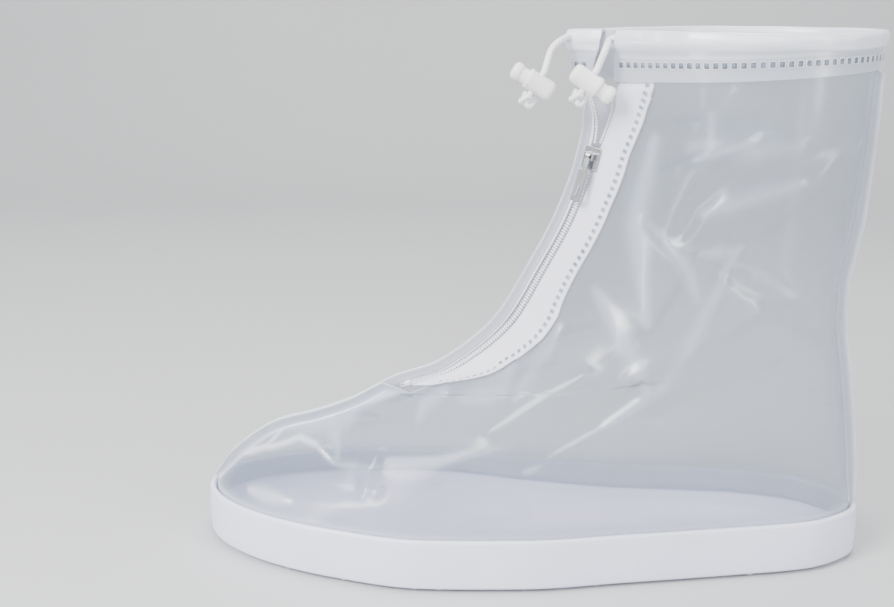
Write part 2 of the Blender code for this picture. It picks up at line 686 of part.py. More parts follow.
def slider_frame():
    """Places the slider's own axes: X across the zip, Y up along it, Z out of it."""
    origin, around, normal, up = skin_frame("outer", SLIDER_LEVEL + 0.3, COIL_PLACE, COIL_LIFT)
    return Matrix.Translation(Vector(origin)) @ Matrix((around, up, normal)).transposed().to_4x4()


def build_slider():
    """The slider's two plates, the wedge between them, and the ears and pin that carry the pull."""
    inside = COIL_THICK / 2 + FIT_GAP
    outside = inside + SLIDER_PLATE
    half = SLIDER_WIDTH / 2
    tail = -0.6 * SLIDER_LENGTH
    head = 0.4 * SLIDER_LENGTH
    ear_in = PULL_EYE_WIDTH / 2 + FIT_GAP
    ear_out = ear_in + EAR_THICK
    eye = PIN_RADIUS + FIT_GAP + PULL_EYE_WALL
    pin = outside + FIT_GAP + eye
    shape = bmesh.new()
    block(shape, (-half, tail, inside), (half, head, outside), 0.3 * MM)
    slider = add_object("zip_slider", mesh_from_bmesh("zip_slider", shape), SLIDER_METAL)
    slider.matrix_world = slider_frame()

    def back(shape):
        narrow = half - 4 * FIT_GAP
        block(shape, (-narrow, tail, -outside), (narrow, head, -inside), 0.3 * MM)

    def wedge(shape):
        low = (-0.25 * COIL_WIDTH, head - 0.3 * SLIDER_LENGTH, -outside + 0.2 * MM)
        block(shape, low, (0.25 * COIL_WIDTH, head - 0.2 * MM, outside - 0.2 * MM))

    def ears(shape):
        for low, high in ((-ear_out, -ear_in), (ear_in, ear_out)):
            block(shape, (low, -eye - 0.4 * MM, inside + 0.4 * MM), (high, eye, pin + 2 * PIN_RADIUS), 0.25 * MM)

    def cross_pin(shape):
        rod(shape, (-ear_out + 0.2 * MM, 0, pin), (ear_out - 0.2 * MM, 0, pin), PIN_RADIUS, 10)

    for name, fill in (("slider_back", back), ("slider_wedge", wedge), ("slider_ears", ears), ("slider_pin", cross_pin)):
        combine(slider, hidden_mesh(name, fill), "UNION")
    return pin


def build_pull(pin):
    """The pull tab, hanging down the zip from an eye round the slider's pin."""
    bore = PIN_RADIUS + FIT_GAP
    eye = bore + PULL_EYE_WALL
    half = PULL_EYE_WIDTH / 2
    shape = bmesh.new()
    rod(shape, (-half, 0, 0), (half, 0, 0), eye, 14)
    pull = add_object("zip_pull", mesh_from_bmesh("zip_pull", shape), SLIDER_METAL)
    tilt = Matrix.Rotation(math.radians(-PULL_TILT), 4, "X")
    pull.matrix_world = slider_frame() @ Matrix.Translation((0, 0, pin)) @ tilt
    low = -0.5 * PULL_THICK

    def neck(shape):
        block(shape, (-half, -0.35 * PULL_LENGTH, low), (half, -0.75 * eye, low + PULL_THICK))

    def blade(shape):
        side = PULL_WIDTH / 2
        block(shape, (-side, -PULL_LENGTH, low), (side, -0.3 * PULL_LENGTH, low + PULL_THICK), 0.3 * MM)

    def eye_bore(shape):
        rod(shape, (-2 * half, 0, 0), (2 * half, 0, 0), bore, 12)

    def window(shape):
        wide = 0.2 * PULL_WIDTH
        block(shape, (-wide, -0.9 * PULL_LENGTH, -4 * MM), (wide, -0.66 * PULL_LENGTH, 4 * MM))

    combine(pull, hidden_mesh("pull_neck", neck), "UNION")
    combine(pull, hidden_mesh("pull_blade", blade), "UNION")
    combine(pull, hidden_mesh("pull_bore", eye_bore), "DIFFERENCE")
    combine(pull, hidden_mesh("pull_window", window), "DIFFERENCE")


def collar_stations():
    """Places round the collar as shares of each side, from the outer front end by the heel to the inner side's
    end; a negative share runs round the front."""
    places = [float(share) for share in body_shares()]
    outer = [("outer", share) for share in places]
    inner = [("inner", share) for share in places[:1:-1] + [0.0]]
    wrap = [("inner", -share) for share in (0.4, 1.0)]
    return outer + inner + wrap


def collar_point(side, share, level):
    """The skin at one collar station and level."""
    if share < 0:
        return skin_points(side, level, np.array([0.0]))[0] + wrap_run(level, -share)
    start = film_edge(level) if side == "outer" else 0.0
    distance = start + share * (total_length(side, level) - start)
    return skin_points(side, level, np.array([distance]))[0]


def collar_outward(stations):
    """The outward direction in plan at each collar station, lengthened where the line turns, like a mitre."""
    top = np.array([collar_point(side, share, HEM_TOP_LEVEL) for side, share in stations])
    run = np.diff(top, axis=0)[:, :2]
    run /= np.linalg.norm(run, axis=1)[:, None]
    square = np.stack([run[:, 1], -run[:, 0]], axis=1)
    both = np.vstack([square[:1], square[:-1] + square[1:], square[-1:]])
    both /= np.linalg.norm(both, axis=1)[:, None]
    stretch = 1 / np.sum(both * np.vstack([square[:1], square]), axis=1)
    return np.column_stack([both * stretch[:, None], np.zeros(len(both))])


def hem_level(rise):
    """The level at a share of the hem's height."""
    return HEM_LOW_LEVEL + rise * (HEM_TOP_LEVEL - HEM_LOW_LEVEL)


def build_hem():
    """The folded band: two legs either side of the panels' top edges and the drawstring's channel above them."""
    legs_out = HEM_GAP + HEM_FILM
    legs_in = FILM + HEM_GAP + HEM_FILM
    middle = -FILM / 2
    bulge = CHANNEL_THICK / 2
    hollow = bulge - HEM_FILM
    start = 1 - CHANNEL_SHARE
    arch = ((0.30, 0.92), (0.80, 0.86), (1.0, 0.0))
    profile = [(0.0, legs_out), (0.5 * start, legs_out), (start, legs_out)]
    profile += [(start + CHANNEL_SHARE * rise, middle + bulge * out) for rise, out in arch]
    profile += [(start + CHANNEL_SHARE * rise, middle - bulge * out) for rise, out in arch[-2::-1]]
    profile += [(start, -legs_in), (0.5 * start, -legs_in), (0.0, -legs_in)]
    profile += [(0.0, HEM_FILM - legs_in), (0.5 * start, HEM_FILM - legs_in), (start, HEM_FILM - legs_in)]
    profile += [(start + CHANNEL_SHARE * (0.1 + 0.8 * rise), middle - hollow * out) for rise, out in arch]
    profile += [(start + CHANNEL_SHARE * (0.1 + 0.8 * rise), middle + hollow * out) for rise, out in arch[-2::-1]]
    profile += [(start, HEM_GAP), (0.5 * start, HEM_GAP), (0.0, HEM_GAP)]
    stations = collar_stations()
    rings = []
    for (side, share), out in zip(stations, collar_outward(stations)):
        rings.append([collar_point(side, share, hem_level(rise)) + out * lift for rise, lift in profile])
    hem = lofted("collar_hem", rings, HEM_WHITE)
    line, corner = channel_line()
    ahead = corner_direction(line, corner)

    def outlet(shape):
        rod(shape, line[corner], line[corner] + ahead * 2 * CHANNEL_THICK, CORD_DIAMETER / 2 + CORD_CLEARANCE, 12)

    combine(hem, hidden_mesh("hem_outlet", outlet), "DIFFERENCE")


def smooth_route(points, step):
    """Points at even steps on a smooth curve through a route's own points."""
    ends = [2 * points[0] - points[1], *points, 2 * points[-1] - points[-2]]
    curve = []
    for before, start, end, after in zip(ends[:-3], ends[1:-2], ends[2:-1], ends[3:]):
        for share in np.linspace(0, 1, 16, endpoint=False):
            bend = (2 * before - 5 * start + 4 * end - after) * share**2
            twist = (3 * start - before - 3 * end + after) * share**3
            curve.append(0.5 * (2 * start + (end - before) * share + bend + twist))
    curve.append(points[-1])
    curve = np.array(curve)
    lengths = run_lengths(curve)
    count = max(int(round(lengths[-1] / step)), 2)
    return at_distance(curve, np.linspace(0, lengths[-1], count + 1))


def cord_tube(name, points):
    """A cord as a bevelled poly curve with filled ends."""
    curve = bpy.data.curves.new(name, "CURVE")
    curve.dimensions = "3D"
    curve.bevel_depth = CORD_DIAMETER / 2
    curve.bevel_resolution = 2
    curve.use_fill_caps = True
    spline = curve.splines.new("POLY")
    spline.points.add(len(points) - 1)
    for slot, point in zip(spline.points, points):
        slot.co = (*point, 1.0)
    tube = bpy.data.objects.new(name, curve)
    bpy.context.scene.collection.objects.link(tube)
    curve.materials.append(material(CORD_WHITE))
    return tube


def channel_line():
    """Middle of the drawstring's channel at each collar station, and the station at the inner front corner."""
    stations = collar_stations()
    middle = hem_level(1 - 0.5 * CHANNEL_SHARE)
    centres = []
    for (side, share), out in zip(stations, collar_outward(stations)):
        centres.append(collar_point(side, share, middle) - out * FILM / 2)
    return np.array(centres), stations.index(("inner", 0.0))


def corner_direction(line, corner):
    """The way the drawstring points as it leaves the channel at the inner front corner."""
    ahead = line[corner] - line[corner - 2]
    return ahead / np.linalg.norm(ahead)


def build_hem_cord():
    """The drawstring's held stretch, through the hem's channel from its open end to the inner front corner."""
    line, corner = channel_line()
    held = line[: corner + 1]
    lengths = run_lengths(held)
    last = lengths[-1] - CORD_DIAMETER
    inside = held[(lengths > CORD_DIAMETER) & (lengths < last - CORD_DIAMETER)]
    ends = at_distance(held, np.array([FIT_GAP, last]))
    return cord_tube("hem_cord", np.vstack([ends[:1], inside, ends[1:]]))


def lock_frame(side):
    """Places a cord lock's own axes: Z along the barrel from its mouth, X along the cord's hole."""
    place, direction = LOCKS[side]
    along = Vector(direction).normalized()
    across = Vector((0, 1, 0))
    hole = across.cross(along)
    if hole.z > 0:
        hole, across = -hole, -across
    turn = Matrix((hole, across, along)).transposed().to_4x4()
    return Matrix.Translation(Vector(place)) @ turn @ Matrix.Translation((0, 0, -LOCK_CORD_PLACE))


def turned(shape, outline, sides):
    """A turned solid in the bmesh: radius and height pairs from the bottom to the top, closed at both ends."""
    rings = []
    for radius, height in outline:
        ring = []
        for i in range(sides):
            turn = 2 * math.pi * i / sides
            ring.append(shape.verts.new((radius * math.cos(turn), radius * math.sin(turn), height)))
        rings.append(ring)
    for low, high in zip(rings[:-1], rings[1:]):
        for i in range(sides):
            j = (i + 1) % sides
            shape.faces.new((low[i], low[j], high[j], high[i]))
    shape.faces.new(rings[0])
    shape.faces.new(rings[-1])


def build_lock(side):
    """One cord lock: a barrel with a bore and a cross hole, and the plunger that slides in it."""
    frame = lock_frame(side)
    radius = LOCK_DIAMETER / 2
    hole = CORD_DIAMETER / 2 + CORD_CLEARANCE
    shape = bmesh.new()
    round_end = [(0.94, 0.90), (0.78, 0.97), (0.50, 1.0)]
    outline = [(0.90 * radius, 0.0), (radius, 0.04 * LOCK_LENGTH)]
    outline += [(out * radius, rise * LOCK_LENGTH) for out, rise in round_end]
    turned(shape, outline, 14)
    barrel = add_object("lock_barrel_" + side, mesh_from_bmesh("barrel", shape), LOCK_WHITE)
    barrel.matrix_world = frame

    def bore(shape):
        rod(shape, (0, 0, -2 * MM), (0, 0, LOCK_BORE_DEPTH), LOCK_BORE / 2, 14)

    def cross_hole(shape):
        rod(shape, (-radius * 2, 0, LOCK_CORD_PLACE), (radius * 2, 0, LOCK_CORD_PLACE), hole, 12)

    combine(barrel, hidden_mesh("bore_" + side, bore), "DIFFERENCE")
    combine(barrel, hidden_mesh("cross_hole_" + side, cross_hole), "DIFFERENCE")

    shape = bmesh.new()
    head = PLUNGER_HEAD / 2
    stem = PLUNGER_STEM / 2
    face = -PLUNGER_STAND
    outline = [(0.45 * head, face - PLUNGER_HEAD_LENGTH), (0.85 * head, face - 0.86 * PLUNGER_HEAD_LENGTH)]
    outline += [(head, face - 0.55 * PLUNGER_HEAD_LENGTH), (0.92 * head, face - 0.1 * PLUNGER_HEAD_LENGTH)]
    outline += [(0.85 * head, face), (stem, face), (stem, face + PLUNGER_STEM_LENGTH)]
    turned(shape, outline, 12)
    plunger = add_object("lock_plunger_" + side, mesh_from_bmesh("plunger", shape), LOCK_WHITE)
    plunger.matrix_world = frame

    def slot(shape):
        low = LOCK_CORD_PLACE - PLUNGER_TRAVEL - hole
        block(shape, (-2 * stem, -hole + 0.1 * MM, low), (2 * stem, hole - 0.1 * MM, LOCK_CORD_PLACE + hole))

    combine(plunger, hidden_mesh("slot_" + side, slot), "DIFFERENCE")


def cord_end_route(side):
    """The free end's route: out of the channel, through the lock's hole and on to the knot."""
    frame = lock_frame(side)
    centre = frame @ Vector((0, 0, LOCK_CORD_PLACE))
    hole = frame.to_3x3() @ Vector((1, 0, 0))
    reach = LOCK_DIAMETER / 2
    through = [centre - hole * 1.3 * reach, centre, centre + hole * (reach + KNOT_STAND)]
    line, corner = channel_line()
    if side == "outer":
        ahead = (line[0] - line[1]) / np.linalg.norm(line[0] - line[1])
        first = [line[0] + ahead * FIT_GAP]
    else:
        ahead = corner_direction(line, corner)
        first = [line[corner] - ahead * (CORD_DIAMETER - 2 * FIT_GAP), line[corner] + ahead * 1.5 * CORD_DIAMETER]
    middle = [Vector(point) * MM for point in CORD_ROUTES[side]]
    return [np.array(point) for point in first + middle + through]


def build_cord_end(side):
    """The free end of the drawstring, up to its knot."""
    return cord_tube("cord_end_" + side, smooth_route(cord_end_route(side), 0.9 * CORD_DIAMETER))


def build_knot(side):
    """The stop knot: a lumpy ball of turned cord."""
    route = cord_end_route(side)
    ahead = route[-1] - route[-2]
    ahead /= np.linalg.norm(ahead)
    centre = route[-1] + ahead * (KNOT_SIZE / 2 + FIT_GAP)
    shape = bmesh.new()
    bmesh.ops.create_icosphere(shape, subdivisions=2, radius=KNOT_SIZE / 2)
    for vert in shape.verts:
        lump = 1 + 0.12 * math.sin(3 * math.atan2(vert.co.y, vert.co.x)) * math.cos(2.5 * vert.co.z / KNOT_SIZE)
        vert.co = Vector((vert.co.x * lump, vert.co.y * lump * 0.9, vert.co.z))
    knot = add_object("cord_knot_" + side, mesh_from_bmesh("knot", shape), CORD_WHITE)
    turn = Vector(ahead).to_track_quat("Z", "Y").to_matrix().to_4x4()
    knot.matrix_world = Matrix.Translation(Vector(centre)) @ turn


def main():
    for old in list(bpy.data.objects):
        bpy.data.objects.remove(old, do_unlink=True)
    build_sole()
    build_panel("outer", "side_panel_outer")
    build_panel("inner", "side_panel_inner")
    build_outer_tape()
    build_inner_tape()
    build_coils()
    build_bottom_stop()
    build_pull(build_slider())
    build_hem()
    build_hem_cord()
    for side in ("outer", "inner"):
        build_lock(side)
        build_cord_end(side)
        build_knot(side)


main()
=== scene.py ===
"""Dresses the shoe cover's solids: clear film, hem, zip, drawstring with cord locks, and treaded sole.

Metres, +Z up, toe towards -X, the outer side of a left foot towards -Y. Every piece lies where its solid
lies, but for a few millimetres at the zip's open end and on the cord locks.
"""

import math

import bmesh
import bpy
import numpy as np
from mathutils import Matrix, Vector


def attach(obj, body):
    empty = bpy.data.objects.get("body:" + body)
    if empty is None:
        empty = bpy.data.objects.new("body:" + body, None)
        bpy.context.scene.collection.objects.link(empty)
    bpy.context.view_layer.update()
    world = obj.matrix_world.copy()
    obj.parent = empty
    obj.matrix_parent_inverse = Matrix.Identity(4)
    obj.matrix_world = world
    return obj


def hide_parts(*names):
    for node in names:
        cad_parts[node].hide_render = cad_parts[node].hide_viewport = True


bl_info = {
    "name": "Shoe cover",
    "version": (1, 0, 0),
    "blender": (4, 5, 0),
    "location": "View3D > Sidebar > Shoe cover",
    "description": "Dresses the solids of a clear rain cover for a shoe",
    "category": "Object",
}

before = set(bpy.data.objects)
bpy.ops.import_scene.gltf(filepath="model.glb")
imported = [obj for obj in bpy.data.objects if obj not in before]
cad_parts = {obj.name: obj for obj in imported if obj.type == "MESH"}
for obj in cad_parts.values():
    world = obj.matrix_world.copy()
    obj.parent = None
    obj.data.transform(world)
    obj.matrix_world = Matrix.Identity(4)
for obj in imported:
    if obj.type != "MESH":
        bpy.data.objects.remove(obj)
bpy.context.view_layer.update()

MM = 0.001

# Sizes that the sole and the upper share with the solids
SOLE_LENGTH = 300 * MM
SOLE_HEIGHT = 24 * MM
SOLE_WIDTH_OUTER = 55.8 * MM
SOLE_WIDTH_INNER = 50 * MM
SOLE_WALL = 2.6 * MM
SOLE_FLOOR = 5 * MM
UPPER_HEIGHT = 210 * MM
SHAFT_HALF_WIDTH = 43 * MM
FILM = 1.1 * MM
SEAM_GAP = 0.3 * MM
FIT_GAP = 0.3 * MM
LAP_GAP = 0.6 * MM
FLANGE_WIDTH = 4.6 * MM
LAP_DEPTH = 10 * MM
FILM_TOP_LEVEL = 15.3
HEM_TOP_LEVEL = 16.0

# Sizes that the zip shares with the solids
ZIP_BOTTOM_LEVEL = 5.7
SLIDER_LEVEL = 11.85
COIL_PLACE = 5.0 * MM
COIL_WIDTH = 2.8 * MM
COIL_THICK = 1.8 * MM
COIL_LIFT = 0.5 * MM
COIL_OVER_FILM = 1.4 * MM
TAPE_WIDTH = 13.5 * MM
TAPE_THICK = 0.6 * MM
TAPE_UNDER = 8 * MM
THROAT_OPEN = 16 * MM
THROAT_DRAWN = 1.6 * MM
SLIDER_WIDTH = 7.4 * MM

# Sizes that the hem and its drawstring share with the solids
HEM_LOW_LEVEL = 14.1
WRAP_LEVEL = 13.75
HEM_FILM = 0.9 * MM
HEM_GAP = 0.6 * MM
CHANNEL_SHARE = 0.30
CHANNEL_THICK = 5.6 * MM
HEM_WRAP = 14.5 * MM
HEM_WRAP_LOW = 7 * MM
CORD_DIAMETER = 2.8 * MM

# Sizes that the cord locks share with the solids
LOCK_DIAMETER = 8.6 * MM
LOCK_CORD_PLACE = 5 * MM
CORD_CLEARANCE = 0.4 * MM
PLUNGER_HEAD = 7.6 * MM
PLUNGER_TRAVEL = 3 * MM
PLUNGER_STAND = 3.2 * MM
KNOT_SIZE = 5.4 * MM
KNOT_STAND = 2.2 * MM

# Finer parts that only the eye sees
FILM_SHOWN = 0.6 * MM
BARREL_SHOWN = 12.9 * MM
BORE_SHOWN = 6.6 * MM
STEM_SHOWN = 6.3 * MM
HEAD_SHOWN = 3.8 * MM
KNOT_SHOWN = 7.2 * MM
KNOT_RAISED = 1.6 * MM
TAPE_SHOWN = 0.35 * MM
TAPE_FLARE = 3.5 * MM
TAPE_TOP_LEVEL = 14.9
SELVEDGE_TOP_LEVEL = 13.6
SELVEDGE_RADIUS = 0.42 * MM
EDGE_BEAD_RADIUS = 0.32 * MM
COIL_WIRE = 0.38 * MM
COIL_COLOUR = (0.84, 0.84, 0.85)
TAPE_CELL = (1.7 * MM, 2.3 * MM)
HEM_CELL = (2.4 * MM, 2.6 * MM)
HEM_WELD_RISE = 0.35
HEM_STATIONS = 70
CHANNEL_STATIONS = 20
FRONT_STEPS = (1.0, 0.97, 0.75, 0.5, 0.25)
HEEL_STEPS = (0.33, 0.66, 0.95, 1.0)
TREAD_DEPTH = 1.4 * MM
SOLE_POINTS = 150
SKIN_ROWS = 321
SKIN_COLUMNS = 361
COLUMNS = 218

# Sole outline: share of the length from the toe, then outer and inner half widths as shares of their sizes
SOLE_OUTLINE = (
    (0.000, -0.11, 0.12),
    (0.015, 0.16, 0.44),
    (0.050, 0.39, 0.66),
    (0.120, 0.65, 0.86),
    (0.220, 0.86, 0.98),
    (0.350, 1.00, 1.00),
    (0.500, 0.95, 0.84),
    (0.650, 0.78, 0.72),
    (0.800, 0.60, 0.70),
    (0.920, 0.43, 0.56),
    (0.970, 0.26, 0.34),
    (1.000, 0.00, 0.00),
)

# Levels of the upper, from the sole to the collar. Columns: front line along X and up, heel line along X and
# up (shares of the sole's half length and of the upper's height), the ridge's drift to the inner side (share
# of the shaft's half width), outer and inner half widths (shares of the shaft's), and how far the section has
# turned from the sole's outline to an oval.
LEVELS = (
    (-0.976, 0.003, 0.976, 0.003, 0.14, 1.22, 1.10, 0.00),
    (-0.930, 0.036, 0.964, 0.055, 0.13, 1.21, 1.10, 0.10),
    (-0.865, 0.080, 0.952, 0.125, 0.12, 1.16, 1.08, 0.28),
    (-0.762, 0.128, 0.940, 0.195, 0.10, 1.10, 1.05, 0.48),
    (-0.642, 0.154, 0.925, 0.265, 0.08, 1.05, 1.01, 0.66),
    (-0.533, 0.184, 0.908, 0.335, 0.07, 1.00, 0.98, 0.80),
    (-0.390, 0.240, 0.892, 0.410, 0.06, 0.96, 0.95, 0.90),
    (-0.281, 0.268, 0.890, 0.480, 0.05, 0.94, 0.93, 0.96),
    (-0.190, 0.310, 0.905, 0.550, 0.04, 0.93, 0.93, 1.00),
    (-0.080, 0.384, 0.920, 0.620, 0.03, 0.94, 0.94, 1.00),
    (0.014, 0.502, 0.930, 0.695, 0.02, 0.96, 0.96, 1.00),
    (0.095, 0.618, 0.935, 0.765, 0.01, 0.98, 0.98, 1.00),
    (0.149, 0.731, 0.938, 0.830, 0.00, 1.00, 1.00, 1.00),
    (0.171, 0.824, 0.940, 0.885, 0.00, 1.01, 1.01, 1.00),
    (0.140, 0.890, 0.943, 0.925, 0.02, 1.02, 1.02, 1.00),
    (0.115, 0.942, 0.947, 0.960, 0.05, 1.02, 1.02, 1.00),
    (0.106, 1.000, 0.950, 1.000, 0.06, 1.02, 1.02, 1.00),
)
WIDEST_PLACE = 0.55
ROUND_NOSE = 1.4
SHARP_NOSE = 1.45
NOSE_BLUNT = 0.07
NOSE_ROUND = 0.012
HEEL_SHARE = 0.93

# Folds of the film: side, then start and end as shares of half the sole's length and of the upper's height,
# half width in shares of the shaft's half width, height in shares of it (a groove is negative)
FOLDS = (
    ("outer", -0.83, 0.075, -0.44, 0.085, 0.16, -0.050),
    ("outer", -0.80, 0.120, -0.60, 0.135, 0.10, 0.035),
    ("outer", -0.47, 0.070, -0.43, 0.150, 0.08, 0.035),
    ("outer", -0.10, 0.210, 0.16, 0.330, 0.13, 0.045),
    ("outer", 0.00, 0.150, 0.30, 0.300, 0.15, -0.045),
    ("outer", 0.28, 0.330, 0.62, 0.470, 0.14, 0.055),
    ("outer", 0.36, 0.250, 0.70, 0.340, 0.16, -0.055),
    ("outer", 0.52, 0.560, 0.84, 0.400, 0.13, -0.060),
    ("outer", 0.40, 0.620, 0.60, 0.850, 0.13, -0.045),
    ("outer", 0.62, 0.640, 0.86, 0.800, 0.12, 0.045),
    ("inner", -0.80, 0.090, -0.46, 0.100, 0.15, -0.045),
    ("inner", -0.12, 0.200, 0.20, 0.320, 0.14, 0.045),
    ("inner", 0.05, 0.150, 0.34, 0.270, 0.15, -0.045),
    ("inner", 0.30, 0.340, 0.66, 0.450, 0.14, 0.050),
    ("inner", 0.40, 0.520, 0.80, 0.420, 0.14, -0.055),
    ("inner", 0.48, 0.650, 0.62, 0.860, 0.13, -0.045),
)
FOLD_EDGE = 14 * MM

# Fine creases in the film: side, route along X and up in millimetres, half width and height in millimetres (a
# groove is negative), and milkiness, which is a painted highlight: white streaks on the creases stand for the
# gloss of the folds. The routes are given one by one.
CREASES = (
    ("outer", ((-133, 38), (-120, 45), (-102, 52), (-93, 52), (-85, 48)), 1.2, 0.7, 0.8),
    ("outer", ((-83, 49), (-85, 59)), 1.4, -0.6, 0.45),
    ("outer", ((-116, 51), (-106, 57), (-92, 60), (-86, 56)), 6.0, 0.0, 0.45),
    ("outer", ((-84, 48), (-66, 49)), 2.0, 0.4, 0.35),
    ("outer", ((-113, 52), (-120, 45), (-129, 41)), 1.1, 0.5, 0.75),
    ("outer", ((-113, 52), (-100, 55), (-82, 60), (-76, 65)), 3.6, 0.7, 0.4),
    ("outer", ((-90, 59), (-74, 66), (-56, 74)), 1.6, 0.5, 0.6),
    ("outer", ((-48, 66), (-46, 71), (-36, 78)), 3.0, 0.8, 0.4),
    ("outer", ((-30, 76), (-11, 83), (-6, 92)), 3.6, 0.8, 0.35),
    ("outer", ((-29, 45), (-2, 37)), 8.0, 0.6, 0.22),
    ("outer", ((-125, 30), (-106, 31)), 4.0, 0.6, 0.6),
    ("outer", ((13, 110), (1, 89), (-6, 80)), 3.2, 0.7, 0.3),
    ("outer", ((48, 157), (63, 142), (69, 127)), 3.2, 0.8, 0.35),
    ("outer", ((9, 59), (33, 73)), 0.8, 0.5, 0.5),
    ("outer", ((33, 73), (55, 89), (62, 98), (74, 126), (84, 150)), 4.2, 0.9, 0.38),
    ("outer", ((28, 126), (40, 108), (50, 88)), 5.0, 0.8, 0.42),
    ("outer", ((65, 184), (88, 193)), 3.2, 0.9, 0.4),
    ("outer", ((68, 163), (105, 176)), 5.0, 1.1, 0.35),
    ("outer", ((75, 163), (80, 153)), 2.6, -0.7, 0.0),
    ("outer", ((73, 148), (83, 148)), 4.0, 0.8, 0.35),
    ("outer", ((120, 85), (133, 75)), 1.0, -0.5, 0.3),
    ("outer", ((47, 159), (68, 125)), 6.0, -0.9, 0.0),
    ("outer", ((69, 127), (107, 126)), 11.0, 0.8, 0.16),
    ("outer", ((50, 191), (43, 155), (49, 116)), 5.0, 0.5, 0.42),
    ("outer", ((63, 189), (105, 190)), 6.0, 0.7, 0.28),
    ("inner", ((-124, 40), (-96, 51), (-74, 46)), 1.6, 0.6, 0.4),
    ("inner", ((-44, 66), (-24, 82)), 2.4, 0.9, 0.25),
    ("inner", ((-20, 60), (12, 74)), 2.6, 0.8, 0.2),
    ("inner", ((20, 64), (62, 96), (78, 130)), 2.2, 0.9, 0.2),
    ("inner", ((44, 150), (70, 128)), 3.5, -1.0, 0.0),
    ("inner", ((60, 170), (104, 180)), 5.0, 1.2, 0.2),
    ("inner", ((66, 192), (110, 188)), 4.0, 0.8, 0.2),
)

# How far the open zip's outer tape, and the outer film's front edge, have drawn back: level, and share of
# the opening
TAPE_THROAT = ((5.0, 0.0), (11.9, 0.0), (13.0, 0.22), (13.6, 0.49), (14.2, 0.78), (16.0, 1.0))
FILM_THROAT = ((5.0, 0.0), (11.9, 0.0), (13.0, 0.12), (13.6, 0.23), (14.1, 0.37), (15.2, 0.67), (16.0, 0.76))

# Cord locks: middle of the cord's hole, and the direction from the plunger's head to the barrel's end
LOCKS = {
    "outer": ((22.5 * MM, -20.0 * MM, 213.5 * MM), (-0.83, 0.0, 0.55)),
    "inner": ((1.5 * MM, -11.0 * MM, 212.0 * MM), (0.856, 0.0, -0.519)),
}

# Free cord ends: route points in millimetres, between the hem's outlet and the lock
CORD_ROUTES = {
    "outer": ((31.0, -10.8, 229.8), (29.0, -18.5, 226.5)),
    "inner": ((7.5, -5.5, 226.0),),
}

# The camera stands about where the photograph was taken from
CAMERA_PLACE = (0.0014, -0.5188, 0.2499)
CAMERA_TURN = (75.33, 0.0, 4.22)
CAMERA_LENS = 48.33


def pitch_property(name, description, default):
    """A distance between copies, as a property."""
    return bpy.props.FloatProperty(name=name, description=description, default=default, unit="LENGTH")


def colour_property(name, description, default):
    """A colour, as a property."""
    return bpy.props.FloatVectorProperty(
        name=name, description=description, default=default, subtype="COLOR", size=3)


class CoverSizes(bpy.types.PropertyGroup):
    """Sizes of the fine parts that can be changed without moving a solid"""

    tooth_pitch: pitch_property("Coil pitch", "Distance between two turns of the zip's coil", 1.3 * MM)
    cell_pitch: pitch_property("Weld pitch", "Distance between two weld cells on the tape", 3.3 * MM)
    hem_pitch: pitch_property("Hem weld pitch", "Distance between two weld cells on the hem", 3.6 * MM)
    tread_pitch: pitch_property("Tread pitch", "Distance between two studs under the sole", 6.0 * MM)


class CoverColours(bpy.types.PropertyGroup):
    """Colours and clarity of the cover's materials"""

    film: colour_property("Film", "Tint of the clear film", (0.21, 0.28, 0.38))
    film_alpha: bpy.props.FloatProperty(
        name="Film cover", description="How much a clear film face hides", default=0.15, subtype="FACTOR")
    # milky colour of welded film; the film's painted highlights and painted sheen are mixed towards it too
    milk_and_highlight: colour_property("Milky film", "Colour of welded and folded film", (0.83, 0.85, 0.93))
    sole: colour_property("Sole", "Colour of the moulded sole", (0.78, 0.78, 0.93))
    tape: colour_property("Tape", "Colour of the zip's tapes", (0.81, 0.81, 0.92))
    weld: colour_property("Weld cells", "Colour of the pressed weld cells", (0.20, 0.24, 0.31))
    lock: colour_property("Locks", "Colour of the cord locks", (0.86, 0.86, 0.83))
    cord: colour_property("Cord", "Colour of the drawstring", (0.88, 0.88, 0.90))
    metal: colour_property("Slider", "Colour of the plated slider", (0.58, 0.59, 0.61))


def sizes():
    return bpy.context.scene.cover_sizes


def colours():
    return bpy.context.scene.cover_colours


# Curves and tables

def monotone(place, places, values):
    """Values of a smooth curve through the table that never overshoots it."""
    places = np.asarray(places, float)
    values = np.asarray(values, float)
    step = np.diff(places)
    slope = np.diff(values) / step
    tangent = np.zeros(len(places))
    same_sign = slope[:-1] * slope[1:] > 0
    first_weight = 2 * step[1:] + step[:-1]
    last_weight = step[1:] + 2 * step[:-1]
    safe_first = np.where(same_sign, slope[:-1], 1.0)
    safe_last = np.where(same_sign, slope[1:], 1.0)
    mean = (first_weight + last_weight) / (first_weight / safe_first + last_weight / safe_last)
    tangent[1:-1] = np.where(same_sign, mean, 0.0)
    tangent[0] = slope[0]
    tangent[-1] = slope[-1]
    place = np.clip(np.asarray(place, float), places[0], places[-1])
    cell = np.clip(np.searchsorted(places, place, side="right") - 1, 0, len(step) - 1)
    width = step[cell]
    share = (place - places[cell]) / width
    rise = values[cell] * (1 + 2 * share) * (1 - share) ** 2 + values[cell + 1] * share**2 * (3 - 2 * share)
    bend = tangent[cell] * share * (1 - share) ** 2 - tangent[cell + 1] * share**2 * (1 - share)
    return rise + width * bend


def ease(share):
    """0 below 0, 1 above 1 and a smooth step between."""
    share = np.clip(share, 0.0, 1.0)
    return share * share * (3 - 2 * share)


def side_sign(side):
    return -1.0 if side == "outer" else 1.0


def unit(vectors):
    """Vectors of length one."""
    return vectors / (np.linalg.norm(vectors, axis=-1, keepdims=True) + 1e-12)


def run_lengths(line):
    """Distance along a line of points, from its start."""
    return np.concatenate([[0.0], np.cumsum(np.linalg.norm(np.diff(line, axis=0), axis=1))])


